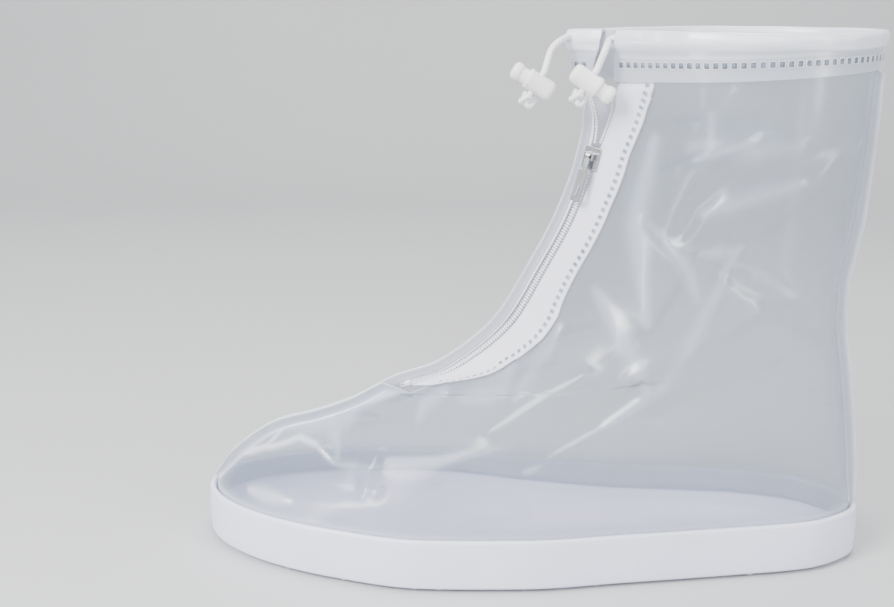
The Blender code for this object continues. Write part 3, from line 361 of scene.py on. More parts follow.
def at_distance(line, distances):
    """Points on a line at these distances from its start."""
    lengths = run_lengths(line)
    return np.stack([np.interp(distances, lengths, line[:, axis]) for axis in range(3)], axis=1)


def ahead_at(line, distances, pitch):
    """The way a line runs at these distances from its start, taken over one pitch."""
    return unit(at_distance(line, distances + 0.5 * pitch) - at_distance(line, distances - 0.5 * pitch))


# The sole's outline and the film's skin, as in the solids, with the skin's finer creases

def sole_half(side, turn, inset=0.0):
    """Plan points of the sole's edge on one side; turn runs from 0 at the toe to 1 at the heel."""
    table = np.array(SOLE_OUTLINE)
    places = np.arccos(1 - 2 * table[:, 0]) / math.pi
    fine = np.linspace(0, 1, 361)
    along = -0.5 * SOLE_LENGTH * np.cos(math.pi * fine)
    outer = -SOLE_WIDTH_OUTER * monotone(fine, places, table[:, 1])
    inner = SOLE_WIDTH_INNER * monotone(fine, places, table[:, 2])
    edge, other = (outer, inner) if side == "outer" else (inner, outer)
    loop_x = np.concatenate([along[3:0:-1], along, along[-2:-5:-1]])
    loop_y = np.concatenate([other[3:0:-1], edge, other[-2:-5:-1]])
    tangent_x = np.gradient(loop_x)
    tangent_y = np.gradient(loop_y)
    length = np.hypot(tangent_x, tangent_y) + 1e-12
    sign = side_sign(side)
    moved_x = loop_x + inset * sign * tangent_y / length
    moved_y = loop_y - inset * sign * tangent_x / length
    return np.interp(turn, fine, moved_x[3:-3]), np.interp(turn, fine, moved_y[3:-3])


def sole_loop(inset, height, points=SOLE_POINTS):
    """Closed loop of the sole's edge, from the toe along the outer side and back along the inner side."""
    turns = np.linspace(0, 1, points + 1)
    outer_x, outer_y = sole_half("outer", turns, inset)
    inner_x, inner_y = sole_half("inner", turns, inset)
    plan_x = np.concatenate([outer_x, inner_x[-2:0:-1]])
    plan_y = np.concatenate([outer_y, inner_y[-2:0:-1]])
    return np.stack([plan_x, plan_y, np.full(len(plan_x), height)], axis=1)


def level_row(level):
    """The level table at any level, as lengths."""
    table = np.array(LEVELS)
    values = [monotone(level, np.arange(len(LEVELS)), table[:, column]) for column in range(8)]
    half = SOLE_LENGTH / 2
    return {
        "front_x": values[0] * half,
        "front_z": SOLE_HEIGHT + values[1] * UPPER_HEIGHT,
        "heel_x": values[2] * half,
        "heel_z": SOLE_HEIGHT + values[3] * UPPER_HEIGHT,
        "drift": values[4] * SHAFT_HALF_WIDTH,
        "outer": values[5] * SHAFT_HALF_WIDTH,
        "inner": values[6] * SHAFT_HALF_WIDTH,
        "oval": values[7],
    }


def oval_width(share, sharp):
    """Half width of the oval section, from 0 at the front line through 1 to 0 at the heel line; sharp turns
    its nose from a round one to the wedge that two welded films make."""
    ahead = np.clip(1 - share / WIDEST_PLACE, 0, 1)
    behind = np.clip((share - WIDEST_PLACE) / (1 - WIDEST_PLACE), 0, 1)
    round_front = (1 - ahead**2) ** (1 / ROUND_NOSE)
    sharp_front = NOSE_BLUNT * (1 - np.exp(-share / NOSE_ROUND))
    sharp_front = sharp_front + (1 - NOSE_BLUNT) * np.cos(0.5 * math.pi * ahead) ** SHARP_NOSE
    front = (1 - sharp) * round_front + sharp * sharp_front
    return np.where(share < WIDEST_PLACE, front, np.sqrt(1 - behind**2))


def section(side, level):
    """Outer skin of one side at a level, from the front line to the heel line, without folds."""
    row = level_row(level)
    turn = np.linspace(0, 1, SKIN_COLUMNS)
    share = 0.5 * (1 - np.cos(math.pi * turn))
    sign = side_sign(side)
    skin = SEAM_GAP / 2 + FILM
    drift = row["drift"] * (1 - share) ** 2
    width = oval_width(share, float(ease((level - 3) / 4)))
    oval_x = row["front_x"] + (row["heel_x"] - row["front_x"]) * share
    oval_y = drift + sign * (skin + (row[side] - skin) * width)
    edge_x, edge_y = sole_half(side, turn, SOLE_WALL + LAP_GAP)
    edge_share = (edge_x - edge_x[0]) / (edge_x[-1] - edge_x[0])
    edge_x = row["front_x"] + (row["heel_x"] - row["front_x"]) * edge_share
    start = level_row(0.0)
    edge_half = sign * (edge_y - start["drift"] * (1 - edge_share) ** 2) * row[side] / start[side]
    edge_y = row["drift"] * (1 - edge_share) ** 2 + sign * np.maximum(edge_half, skin)
    blend = row["oval"]
    plan_x = (1 - blend) * edge_x + blend * oval_x
    plan_y = (1 - blend) * edge_y + blend * oval_y
    place = (plan_x - row["front_x"]) / (row["heel_x"] - row["front_x"])
    height = row["front_z"] + (row["heel_z"] - row["front_z"]) * place
    return np.stack([plan_x, plan_y, height], axis=1)


def line_reach(points, start, end):
    """Shortest distance of points from a straight stretch seen from the side, and the share along it."""
    run = end - start
    reach = points[..., (0, 2)] - start
    along = np.clip(reach @ run / (run @ run), 0, 1)
    return np.linalg.norm(reach - along[..., None] * run, axis=-1), along


def route_reach(points, route):
    """Shortest distance of points from a route seen from the side, and how far along it that is (0 to 1)."""
    apart = np.full(points.shape[:-1], np.inf)
    along = np.zeros(points.shape[:-1])
    legs = len(route) - 1
    for leg, (start, end) in enumerate(zip(route[:-1], route[1:])):
        near, share = line_reach(points, np.array(start) * MM, np.array(end) * MM)
        along = np.where(near < apart, (leg + share) / legs, along)
        apart = np.minimum(apart, near)
    return apart, along


def fold_height(side, points):
    """How far the film's main folds stand out of, or dip into, the plain skin at these points."""
    total = np.zeros(points.shape[:-1])
    half = SOLE_LENGTH / 2
    for fold_side, x0, z0, x1, z1, width, height in FOLDS:
        if fold_side != side:
            continue
        start = np.array([x0 * half, SOLE_HEIGHT + z0 * UPPER_HEIGHT])
        end = np.array([x1 * half, SOLE_HEIGHT + z1 * UPPER_HEIGHT])
        apart, along = line_reach(points, start, end)
        spread = width * SHAFT_HALF_WIDTH * (0.55 + 0.45 * np.sin(math.pi * along))
        total += height * SHAFT_HALF_WIDTH * np.exp(-((apart / spread) ** 2))
    return total


def creases(side, points):
    """Height of the fine creases at these points, and their milkiness, which is a painted highlight."""
    height = np.zeros(points.shape[:-1])
    milk_and_highlight = np.zeros(points.shape[:-1])
    for crease_side, route, width, rise, white in CREASES:
        if crease_side != side:
            continue
        apart, along = route_reach(points, route)
        spread = width * MM * (0.45 + 0.55 * np.sin(math.pi * along))
        shape = np.exp(-((apart / spread) ** 2))
        height += rise * MM * shape
        milk_and_highlight = np.maximum(milk_and_highlight, white * shape)
    return height, milk_and_highlight


SKINS = {}


def skin_grid(side):
    """The folded skin of one side as a fine grid, worked out once."""
    if side in SKINS:
        return SKINS[side]
    levels = np.linspace(0, HEM_TOP_LEVEL, SKIN_ROWS)
    plain = np.array([section(side, level) for level in levels])
    normals = unit(np.cross(np.gradient(plain, axis=0), np.gradient(plain, axis=1)) * side_sign(side))
    steps = np.linalg.norm(np.diff(plain, axis=1), axis=2)
    lengths = np.concatenate([np.zeros((SKIN_ROWS, 1)), np.cumsum(steps, axis=1)], axis=1)
    edge = np.minimum(lengths - 2 * FLANGE_WIDTH, lengths[:, -1:] - lengths) / FOLD_EDGE
    vertical = np.minimum(levels / 1.2, (len(LEVELS) - 2.4 - levels) / 1.2)
    fine, milk_and_highlight = creases(side, plain)
    from_ends = np.minimum(lengths, lengths[:, -1:] - lengths)
    fine_window = ease(from_ends / (4 * MM)) * ease(levels / 0.5)[:, None]
    height = fold_height(side, plain) * ease(edge) * ease(vertical)[:, None] + fine * fine_window
    SKINS[side] = {
        "points": plain + normals * height[..., None],
        "normals": normals,
        "lengths": lengths,
        # milkiness of the creases: painted highlights
        "milk_and_highlight": milk_and_highlight * fine_window,
    }
    return SKINS[side]


def skin_line(side, level, what):
    """One named grid of the skin, at any level."""
    place = np.clip(level / HEM_TOP_LEVEL, 0, 1) * (SKIN_ROWS - 1)
    row = min(int(place), SKIN_ROWS - 2)
    share = place - row
    grid = skin_grid(side)[what]
    return (1 - share) * grid[row] + share * grid[row + 1]


def skin(side, level, distances, lift=0.0):
    """Points on one side's folded skin at distances from the front line, lifted along the normal."""
    lengths = skin_line(side, level, "lengths")
    line = skin_line(side, level, "points") + skin_line(side, level, "normals") * lift
    return np.stack([np.interp(distances, lengths, line[:, axis]) for axis in range(3)], axis=1)


def skin_highlight(side, level, distances):
    """Painted highlight of the creases (their milkiness) at distances from the front line."""
    return np.interp(distances, skin_line(side, level, "lengths"), skin_line(side, level, "milk_and_highlight"))


def total_length(side, level):
    return skin_line(side, level, "lengths")[-1]


def slant(level):
    """How square the sections stand to the zip's line: a width across the zip takes its length over this."""
    here = skin("outer", level, np.array([COIL_PLACE, COIL_PLACE + COIL_WIDTH]))
    ahead = skin("outer", level + (0.2 if level < 8 else -0.2), np.array([COIL_PLACE]))[0]
    around = unit(here[1] - here[0])
    along = unit(ahead - here[0])
    return max(float(np.linalg.norm(np.cross(around, along))), 0.5)


def outer_coil_place(level):
    """Distance of the outer tape's coil from the front line: closed up to the slider, then drawn back."""
    return COIL_PLACE + THROAT_OPEN * float(monotone(level, *zip(*TAPE_THROAT)))


def inner_coil_place(level):
    """Distance of the inner coil's middle from the front line, towards the outer side."""
    return COIL_PLACE - THROAT_DRAWN * float(ease((level - SLIDER_LEVEL - 0.55) / 0.9))


def film_edge(level):
    """Distance of the outer panel's front edge from the front line, clear of the slider's plates."""
    opened = THROAT_OPEN * float(monotone(level, *zip(*FILM_THROAT)))
    return COIL_PLACE + opened + (SLIDER_WIDTH / 2 + 8 * FIT_GAP) / slant(level)


def front_direction(level):
    """Unit direction in which the front seam's flange stands out, square to the front line."""
    low = level_row(max(level - 0.15, 0.0))
    high = level_row(min(level + 0.15, len(LEVELS) - 1.0))
    run = unit(np.array([high["front_x"] - low["front_x"], 0.0, high["front_z"] - low["front_z"]]))
    return np.array([-run[2], 0.0, run[0]])


def flange_width(level):
    """The weld flange's width: narrow where it stands on the sole's rim, and a little narrower by the zip."""
    return FLANGE_WIDTH * (0.55 + 0.45 * float(ease(level / 1.5)) - 0.13 * float(ease(level - 9)))


def body_shares(count):
    """Where columns fall from the front edge to the heel, closest together at the front."""
    falls = 1 - np.cos(np.linspace(0, 1, count) * math.pi * HEEL_SHARE)
    return falls / (1 - math.cos(HEEL_SHARE * math.pi))


def wrap_run(level, share):
    """Step from the inner panel's front line, round the front of the collar; it is longest at the top."""
    rise = float(ease((level - HEM_LOW_LEVEL) / (HEM_TOP_LEVEL - HEM_LOW_LEVEL)))
    distance = share * (HEM_WRAP_LOW + (HEM_WRAP - HEM_WRAP_LOW) * rise)
    return np.array([0.86 * distance, -0.51 * distance, 0.0])


def hem_level(rise):
    """The level at a share of the hem's height."""
    return HEM_LOW_LEVEL + rise * (HEM_TOP_LEVEL - HEM_LOW_LEVEL)


# Shader parts

def shader_group(name, inputs, outputs, fill):
    """A shader node group with float inputs, made once; fill adds its nodes."""
    found = bpy.data.node_groups.get(name)
    if found:
        return found
    group = bpy.data.node_groups.new(name, "ShaderNodeTree")
    for label, value in inputs:
        socket = group.interface.new_socket(label, in_out="INPUT", socket_type="NodeSocketFloat")
        socket.default_value = value
    for label in outputs:
        group.interface.new_socket(label, in_out="OUTPUT", socket_type="NodeSocketFloat")
    fill(group, add(group, "NodeGroupInput"), add(group, "NodeGroupOutput"))
    return group


def add(tree, kind, values=(), **settings):
    """A node with its settings, and values for its input sockets by name or number."""
    node = tree.nodes.new(kind)
    for name, value in settings.items():
        setattr(node, name, value)
    for socket, value in dict(values).items():
        if isinstance(value, bpy.types.NodeSocket):
            tree.links.new(value, node.inputs[socket])
        else:
            node.inputs[socket].default_value = value
    return node


def maths(tree, operation, first, second=0.0, clamp=False):
    """The result of one Math node."""
    return add(tree, "ShaderNodeMath", {0: first, 1: second}, operation=operation, use_clamp=clamp).outputs[0]


def mix_colour(tree, share, first, second):
    """Two colours mixed by a share."""
    node = tree.nodes.new("ShaderNodeMix")
    node.data_type = "RGBA"
    for socket, value in ((0, share), (6, first), (7, second)):
        if isinstance(value, bpy.types.NodeSocket):
            tree.links.new(value, node.inputs[socket])
        else:
            node.inputs[socket].default_value = value if socket == 0 else (*value, 1.0)
    return node.outputs[2]


def fill_ripples(group, given, result):
    """Soft ripples and fine scratches of a rolled plastic film."""
    place = add(group, "ShaderNodeTexCoord").outputs["Object"]
    turned = add(group, "ShaderNodeMapping", {
        "Vector": place, "Rotation": (0.3, 0.5, 0.6), "Scale": (1.0, 1.0, 0.35)})
    coarse = add(group, "ShaderNodeTexNoise", {"Vector": turned.outputs[0], "Detail": 3.0, "Roughness": 0.45})
    group.links.new(given.outputs["Coarse"], coarse.inputs["Scale"])
    fine = add(group, "ShaderNodeTexNoise", {"Vector": place, "Detail": 2.0})
    group.links.new(given.outputs["Fine"], fine.inputs["Scale"])
    both = maths(group, "ADD", maths(group, "MULTIPLY", coarse.outputs[0], 0.96),
                 maths(group, "MULTIPLY", fine.outputs[0], 0.04))
    group.links.new(both, result.inputs["Height"])


def fill_weave(group, given, result):
    """A plain weave on the piece's own UV map, which is in millimetres."""
    cloth = add(group, "ShaderNodeUVMap", uv_map="cloth").outputs[0]
    across = add(group, "ShaderNodeSeparateXYZ", {0: cloth})
    warp = maths(group, "SINE", maths(group, "MULTIPLY", across.outputs[0], given.outputs["Threads"]))
    weft = maths(group, "SINE", maths(group, "MULTIPLY", across.outputs[1], given.outputs["Threads"]))
    crossed = maths(group, "MULTIPLY", warp, weft)
    both = maths(group, "ADD", maths(group, "ABSOLUTE", crossed), maths(group, "MULTIPLY", crossed, 0.4))
    group.links.new(both, result.inputs["Height"])


def fill_braid(group, given, result):
    """Diagonal strands round a cord, on the piece's own UV map: turns round it and diameters along it."""
    cloth = add(group, "ShaderNodeUVMap", uv_map="cloth").outputs[0]
    place = add(group, "ShaderNodeSeparateXYZ", {0: cloth})
    around = maths(group, "MULTIPLY", place.outputs[0], 6 * 2 * math.pi)
    along = maths(group, "MULTIPLY", place.outputs[1], given.outputs["Strands"])
    left = maths(group, "SINE", maths(group, "ADD", around, along))
    right = maths(group, "SINE", maths(group, "SUBTRACT", around, along))
    group.links.new(maths(group, "MAXIMUM", left, right), result.inputs["Height"])


def fill_grime(group, given, result):
    """Slow uneven tone, as on moulded rubber that has been handled."""
    place = add(group, "ShaderNodeTexCoord").outputs["Object"]
    slow = add(group, "ShaderNodeTexNoise", {"Vector": place, "Detail": 4.0, "Roughness": 0.6})
    group.links.new(given.outputs["Scale"], slow.inputs["Scale"])
    tone = add(group, "ShaderNodeMapRange", {"Value": slow.outputs[0], "From Min": 0.35, "From Max": 0.7})
    group.links.new(tone.outputs[0], result.inputs["Tone"])


def ripples():
    return shader_group("film_ripples", (("Coarse", 40.0), ("Fine", 900.0)), ("Height",), fill_ripples)


def weave():
    return shader_group("tape_weave", (("Threads", 2 * math.pi / 0.9),), ("Height",), fill_weave)


def braid():
    return shader_group("cord_braid", (("Strands", 2 * math.pi),), ("Height",), fill_braid)


def grime():
    return shader_group("uneven_tone", (("Scale", 30.0),), ("Tone",), fill_grime)


def grouped(tree, group, values=()):
    """A node that uses one of the shader groups."""
    node = tree.nodes.new("ShaderNodeGroup")
    node.node_tree = group
    for name, value in dict(values).items():
        node.inputs[name].default_value = value
    return node


def new_material(name):
    """A material, its tree, its Principled shader, and whether it was made just now."""
    found = bpy.data.materials.get(name)
    if found:
        return found, None, None, False
    made = bpy.data.materials.new(name)
    made.use_nodes = True
    return made, made.node_tree, made.node_tree.nodes["Principled BSDF"], True


def set_shader(shader, **values):
    """Values for the Principled shader's sockets; an underscore in a name stands for a space."""
    for name, value in values.items():
        shader.inputs[name.replace("_", " ")].default_value = value


def bump(tree, shader, height, strength, distance):
    """Bump on the shader from a height."""
    node = add(tree, "ShaderNodeBump", {"Strength": strength, "Distance": distance, "Height": height})
    tree.links.new(node.outputs[0], shader.inputs["Normal"])


def uneven(tree, shader, colour, scale, dark):
    """A base colour that a slow tone darkens in places, and the tone."""
    tone = grouped(tree, grime(), {"Scale": scale}).outputs["Tone"]
    darker = [dark * value for value in colour]
    tree.links.new(mix_colour(tree, tone, colour, darker), shader.inputs["Base Color"])
    return tone


def vary(tree, shader, socket, share, spread, base):
    """Drives one socket of the shader: base where the share is 0, and base plus spread where it is 1."""
    tree.links.new(maths(tree, "ADD", maths(tree, "MULTIPLY", share, spread), base), shader.inputs[socket])


def film_finish(name, clear_alpha, milky_alpha):
    """Clear film that turns milky where it is welded, with painted highlights along its creases
    and a painted sheen that whitens it where it is seen edge-on.
    """
    made, tree, shader, fresh = new_material(name)
    if not fresh:
        return made
    milk_and_highlight = add(tree, "ShaderNodeAttribute", attribute_name="milk_and_highlight").outputs["Fac"]
    # painted sheen: Layer Weight whitens the film and makes it more opaque where it is seen edge-on
    edge = add(tree, "ShaderNodeLayerWeight", {"Blend": 0.35}).outputs["Facing"]
    rim = maths(tree, "MULTIPLY", maths(tree, "POWER", edge, 2.2), 0.55)
    cover = maths(tree, "ADD", maths(tree, "MULTIPLY", milk_and_highlight, milky_alpha - clear_alpha), clear_alpha)
    shown = maths(tree, "ADD", cover, rim, clamp=True)
    colour = mix_colour(tree, maths(tree, "ADD", milk_and_highlight, rim, clamp=True), colours().film, colours().milk_and_highlight)
    tree.links.new(shown, shader.inputs["Alpha"])
    tree.links.new(colour, shader.inputs["Base Color"])
    height = grouped(tree, ripples()).outputs["Height"]
    bump(tree, shader, height, 0.35, 1.2 * MM)
    vary(tree, shader, "Roughness", milk_and_highlight, 0.15, 0.20)
    set_shader(shader, IOR=1.9, Coat_Weight=0.25, Coat_Roughness=0.1)
    return made


def cut_edge_finish():
    """The bright bead that the weld leaves along the film's cut edges."""
    made, tree, shader, fresh = new_material("cut_edge_film")
    if not fresh:
        return made
    tone = uneven(tree, shader, colours().milk_and_highlight, 180.0, 0.85)
    vary(tree, shader, "Alpha", tone, 0.2, 0.6)
    bump(tree, shader, tone, 0.15, 0.1 * MM)
    set_shader(shader, Roughness=0.15, IOR=1.8)
    return made


def weld_finish():
    """The greyer, pressed film of a weld cell."""
    made, tree, shader, fresh = new_material("pressed_weld")
    if not fresh:
        return made
    tone = uneven(tree, shader, colours().weld, 70.0, 0.75)
    vary(tree, shader, "Alpha", tone, 0.35, 0.4)
    bump(tree, shader, tone, 0.2, 0.1 * MM)
    set_shader(shader, Roughness=0.3)
    return made


def sole_finish():
    """Satin white rubber with a slow uneven tone and a fine moulded grain."""
    made, tree, shader, fresh = new_material("sole_rubber")
    if not fresh:
        return made
    tone = uneven(tree, shader, colours().sole, 22.0, 0.93)
    place = add(tree, "ShaderNodeTexCoord").outputs["Object"]
    grain = add(tree, "ShaderNodeTexNoise", {"Vector": place, "Scale": 2200.0, "Detail": 2.0})
    bump(tree, shader, grain.outputs[0], 0.12, 0.2 * MM)
    vary(tree, shader, "Roughness", tone, 0.12, 0.38)
    set_shader(shader, Subsurface_Weight=0.12, Subsurface_Radius=(0.004, 0.004, 0.005))
    set_shader(shader, Subsurface_Scale=1.0)
    return made


def cloth_finish(name, colour, group, strength, depth, roughness):
    """Cloth or cord with a bump, and painted shade that darkens it between its threads."""
    made, tree, shader, fresh = new_material(name)
    if not fresh:
        return made
    height = grouped(tree, group).outputs["Height"]
    # painted shade: the colour darkens where the weave's or braid's height is low, between the threads
    low = [0.86 * value for value in colour]
    share = maths(tree, "ADD", maths(tree, "MULTIPLY", height, 0.5), 0.5, clamp=True)
    tree.links.new(mix_colour(tree, share, low, colour), shader.inputs["Base Color"])
    bump(tree, shader, height, strength, depth)
    set_shader(shader, Roughness=roughness, Sheen_Weight=0.25, Sheen_Roughness=0.4)
    return made


def tape_finish():
    return cloth_finish("tape_weave_white", colours().tape, weave(), 0.35, 0.12 * MM, 0.62)


def cord_finish():
    return cloth_finish("cord_braid_white", colours().cord, braid(), 0.4, 0.22 * MM, 0.55)


def plastic_finish(name, colour, roughness, glow):
    """Moulded plastic with an uneven gloss and a little light inside."""
    made, tree, shader, fresh = new_material(name)
    if not fresh:
        return made
    tone = uneven(tree, shader, colour, 160.0, 0.95)
    vary(tree, shader, "Roughness", tone, 0.10, roughness)
    bump(tree, shader, tone, 0.08, 0.15 * MM)
    set_shader(shader, Subsurface_Weight=glow, Subsurface_Radius=(0.002, 0.002, 0.002))
    set_shader(shader, Subsurface_Scale=1.0)
    return made


def coil_finish():
    return plastic_finish("coil_plastic", COIL_COLOUR, 0.32, 0.1)


def metal_finish():
    """Bright plated metal with fine wear."""
    made, tree, shader, fresh = new_material("slider_plating")
    if not fresh:
        return made
    tone = uneven(tree, shader, colours().metal, 90.0, 0.78)
    vary(tree, shader, "Roughness", tone, 0.08, 0.18)
    bump(tree, shader, tone, 0.02, 0.1 * MM)
    set_shader(shader, Metallic=1.0)
    return made


# Mesh parts

def add_object(name, mesh, finish):
    """A smooth-shaded mesh object in the scene."""
    piece = bpy.data.objects.new(name, mesh)
    bpy.context.scene.collection.objects.link(piece)
    mesh.materials.clear()
    mesh.materials.append(finish)
    mesh.shade_smooth()
    return piece


def dress(piece, nodes=(), body="cover"):
    """The piece rides on its body and stands for its solids."""
    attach(piece, body)
    if nodes:
        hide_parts(*nodes)
    return piece


def grid_mesh(name, rows, flip=False, uv=None, milk_and_highlight=None, close_rows=False):
    """A mesh through rows of points, with an optional UV map in millimetres and milkiness with painted
    highlights.
    """
    rows = np.asarray(rows, float)
    count, width = rows.shape[:2]
    across = np.arange(width if close_rows else width - 1)
    low = np.arange(count - 1)[:, None] * width
    right = (across + 1) % width
    corners = [low + across, low + right, low + width + right, low + width + across]
    quads = np.stack(corners, axis=-1).reshape(-1, 4)
    if flip:
        quads = quads[:, ::-1]
    mesh = bpy.data.meshes.new(name)
    mesh.from_pydata(rows.reshape(-1, 3).tolist(), [], quads.tolist())
    if uv is not None:
        layer = mesh.uv_layers.new(name="cloth")
        layer.data.foreach_set("uv", np.asarray(uv, np.float32).reshape(-1, 2)[quads.ravel()].ravel())
    if milk_and_highlight is not None:
        layer = mesh.attributes.new("milk_and_highlight", "FLOAT", "POINT")
        layer.data.foreach_set("value", np.asarray(milk_and_highlight, np.float32).ravel())
    return mesh


def cloth_uv(rows):
    """UV in millimetres, measured along the rows and up them."""
    rows = np.asarray(rows, float)
    across = np.cumsum(np.linalg.norm(np.diff(rows, axis=1, prepend=rows[:, :1]), axis=2), axis=1)
    up = np.cumsum(np.linalg.norm(np.diff(rows, axis=0, prepend=rows[:1]), axis=2), axis=0)
    return np.stack([across, up], axis=2) / MM


def thicken(piece, thickness):
    """A wall under the surface."""
    wall = piece.modifiers.new("wall", "SOLIDIFY")
    wall.thickness = thickness
    wall.offset = -1.0
    wall.use_even_offset = True


def close_ends(mesh, around, flat_ends=False):
    """Faces over the first and the last row of a tube of rows, each with so many points around."""
    shape = bmesh.new()
    shape.from_mesh(mesh)
    shape.verts.ensure_lookup_table()
    last = len(shape.verts) - 1
    shape.faces.new([shape.verts[i] for i in range(around)])
    shape.faces.new([shape.verts[last - i] for i in range(around)])
    if flat_ends:
        bmesh.ops.triangulate(shape, faces=[face for face in shape.faces if len(face.verts) > 4])
    bmesh.ops.recalc_face_normals(shape, faces=shape.faces)
    shape.to_mesh(mesh)
    shape.free()
    return mesh


def join_ends(mesh):
    """The last row of a closed tube merged into its first."""
    shape = bmesh.new()
    shape.from_mesh(mesh)
    bmesh.ops.remove_doubles(shape, verts=shape.verts[:], dist=1e-6)
    bmesh.ops.recalc_face_normals(shape, faces=shape.faces)
    shape.to_mesh(mesh)
    shape.free()
    return mesh


def tube_mesh(name, path, radius, sides, closed=False):
    """A round tube along a path, with its ends closed and a UV map of turns and diameters."""
    path = np.asarray(path, float)
    if closed:
        run = np.roll(path, -1, axis=0) - np.roll(path, 1, axis=0)
    else:
        run = np.gradient(path, axis=0)
    run = unit(run)
    side = np.cross(run[0], (0.0, 0.0, 1.0) if abs(run[0][2]) < 0.9 else (1.0, 0.0, 0.0))
    frames = []
    for direction in run:
        side = unit(side - direction * (side @ direction))
        frames.append((side, np.cross(direction, side)))
    turns = np.linspace(0, 2 * math.pi, sides, endpoint=False)
    rows = []
    for point, (first, second) in zip(path, frames):
        rows.append(point + radius * (np.cos(turns)[:, None] * first + np.sin(turns)[:, None] * second))
    rows = np.array(rows)
    if closed:
        rows = np.concatenate([rows, rows[:1]])
        path = np.vstack([path, path[:1]])
    along = run_lengths(path) / (2 * radius)
    uv = np.stack(np.meshgrid(np.arange(sides) / sides, along), axis=2)
    mesh = grid_mesh(name, rows, uv=uv, close_rows=True)
    return join_ends(mesh) if closed else close_ends(mesh, sides)


def smooth_route(points, step):
    """Points at even steps on a smooth curve through a route's own points."""
    ends = [2 * points[0] - points[1], *points, 2 * points[-1] - points[-2]]
    curve = []
    for before, start, end, after in zip(ends[:-3], ends[1:-2], ends[2:-1], ends[3:]):
        for share in np.linspace(0, 1, 16, endpoint=False):
            bend = (2 * before - 5 * start + 4 * end - after) * share**2
            twist = (3 * start - before - 3 * end + after) * share**3
            curve.append(0.5 * (2 * start + (end - before) * share + bend + twist))
    curve.append(points[-1])
    curve = np.array(curve)
    total = run_lengths(curve)[-1]
    return at_distance(curve, np.linspace(0, total, max(int(round(total / step)), 2) + 1))


def scatter(name, places, along, out, make_unit, unit_sizes, finish):
    """One mesh with a copy of a unit at every place, turned by its along and out directions."""
    seeds = bpy.data.meshes.new(name + "_places")
    seeds.from_pydata(np.asarray(places, float).tolist(), [], [])
    for label, values in (("along", along), ("out", out)):
        layer = seeds.attributes.new(label, "FLOAT_VECTOR", "POINT")
        layer.data.foreach_set("vector", np.asarray(values, np.float32).ravel())
    guide = bpy.data.objects.new(name + "_guide", seeds)
    bpy.context.scene.collection.objects.link(guide)
    tree = bpy.data.node_groups.new(name, "GeometryNodeTree")
    tree.interface.new_socket("Geometry", in_out="INPUT", socket_type="NodeSocketGeometry")
    sockets = {}
    for label, value in unit_sizes.items():
        sockets[label] = tree.interface.new_socket(label, in_out="INPUT", socket_type="NodeSocketFloat")
        sockets[label].default_value = value
    tree.interface.new_socket("Geometry", in_out="OUTPUT", socket_type="NodeSocketGeometry")
    given = tree.nodes.new("NodeGroupInput")
    result = tree.nodes.new("NodeGroupOutput")
    vectors = {}
    for label in ("along", "out"):
        reader = tree.nodes.new("GeometryNodeInputNamedAttribute")
        reader.data_type = "FLOAT_VECTOR"
        reader.inputs["Name"].default_value = label
        vectors[label] = reader.outputs["Attribute"]
    upright = add(tree, "FunctionNodeAlignRotationToVector", {"Vector": vectors["out"]}, axis="Z")
    turned = add(tree, "FunctionNodeAlignRotationToVector",
                 {"Rotation": upright.outputs[0], "Vector": vectors["along"]}, axis="X", pivot_axis="Z")
    copies = add(tree, "GeometryNodeInstanceOnPoints", {
        "Points": given.outputs["Geometry"],
        "Instance": make_unit(tree, given),
        "Rotation": turned.outputs[0],
    })
    real = add(tree, "GeometryNodeRealizeInstances", {"Geometry": copies.outputs[0]})
    painted = add(tree, "GeometryNodeSetMaterial", {"Geometry": real.outputs[0], "Material": finish})
    tree.links.new(painted.outputs[0], result.inputs[0])
    step = guide.modifiers.new("copies", "NODES")
    step.node_group = tree
    for label, value in unit_sizes.items():
        step[sockets[label].identifier] = value
    graph = bpy.context.evaluated_depsgraph_get()
    mesh = bpy.data.meshes.new_from_object(guide.evaluated_get(graph))
    bpy.data.objects.remove(guide, do_unlink=True)
    return add_object(name, mesh, finish)


def swept(tree, curve, profile):
    """A wire's profile swept along a curve."""
    return add(tree, "GeometryNodeCurveToMesh", {
        "Curve": curve.outputs[0], "Profile Curve": profile.outputs[0]}).outputs[0]


def frame_unit(tree, given):
    """A small rounded frame: the raised edge of one weld cell."""
    loop = add(tree, "GeometryNodeCurvePrimitiveQuadrilateral", {
        "Width": given.outputs["Length"], "Height": given.outputs["Width"]})
    soft = add(tree, "GeometryNodeFilletCurve", {"Curve": loop.outputs[0], "Count": 3, "Limit Radius": True},
               mode="POLY")
    tree.links.new(given.outputs["Corner"], soft.inputs["Radius"])
    wire = add(tree, "GeometryNodeCurvePrimitiveCircle", {"Resolution": 6, "Radius": given.outputs["Edge"]})
    return swept(tree, soft, wire)


def pad_unit(tree, given):
    """The pressed pad inside one weld cell."""
    size = add(tree, "ShaderNodeCombineXYZ", {
        "X": given.outputs["Length"], "Y": given.outputs["Width"], "Z": given.outputs["Thick"]})
    pad = add(tree, "GeometryNodeMeshCube")
    tree.links.new(size.outputs[0], pad.inputs["Size"])
    return pad.outputs[0]


def weld_row(name, places, ahead, out, length, width):
    """A row of weld cells: pale ribs round darker pads."""
    ribs = scatter(
        name, places, ahead, out, frame_unit,
        {"Length": length, "Width": width, "Corner": 0.4 * MM, "Edge": 0.24 * MM}, cut_edge_finish())
    dress(ribs)
    pads = scatter(
        name + "_pads", places, ahead, out, pad_unit,
        {"Length": length - 0.3 * MM, "Width": width - 0.3 * MM, "Thick": 0.1 * MM}, weld_finish())
    dress(pads)


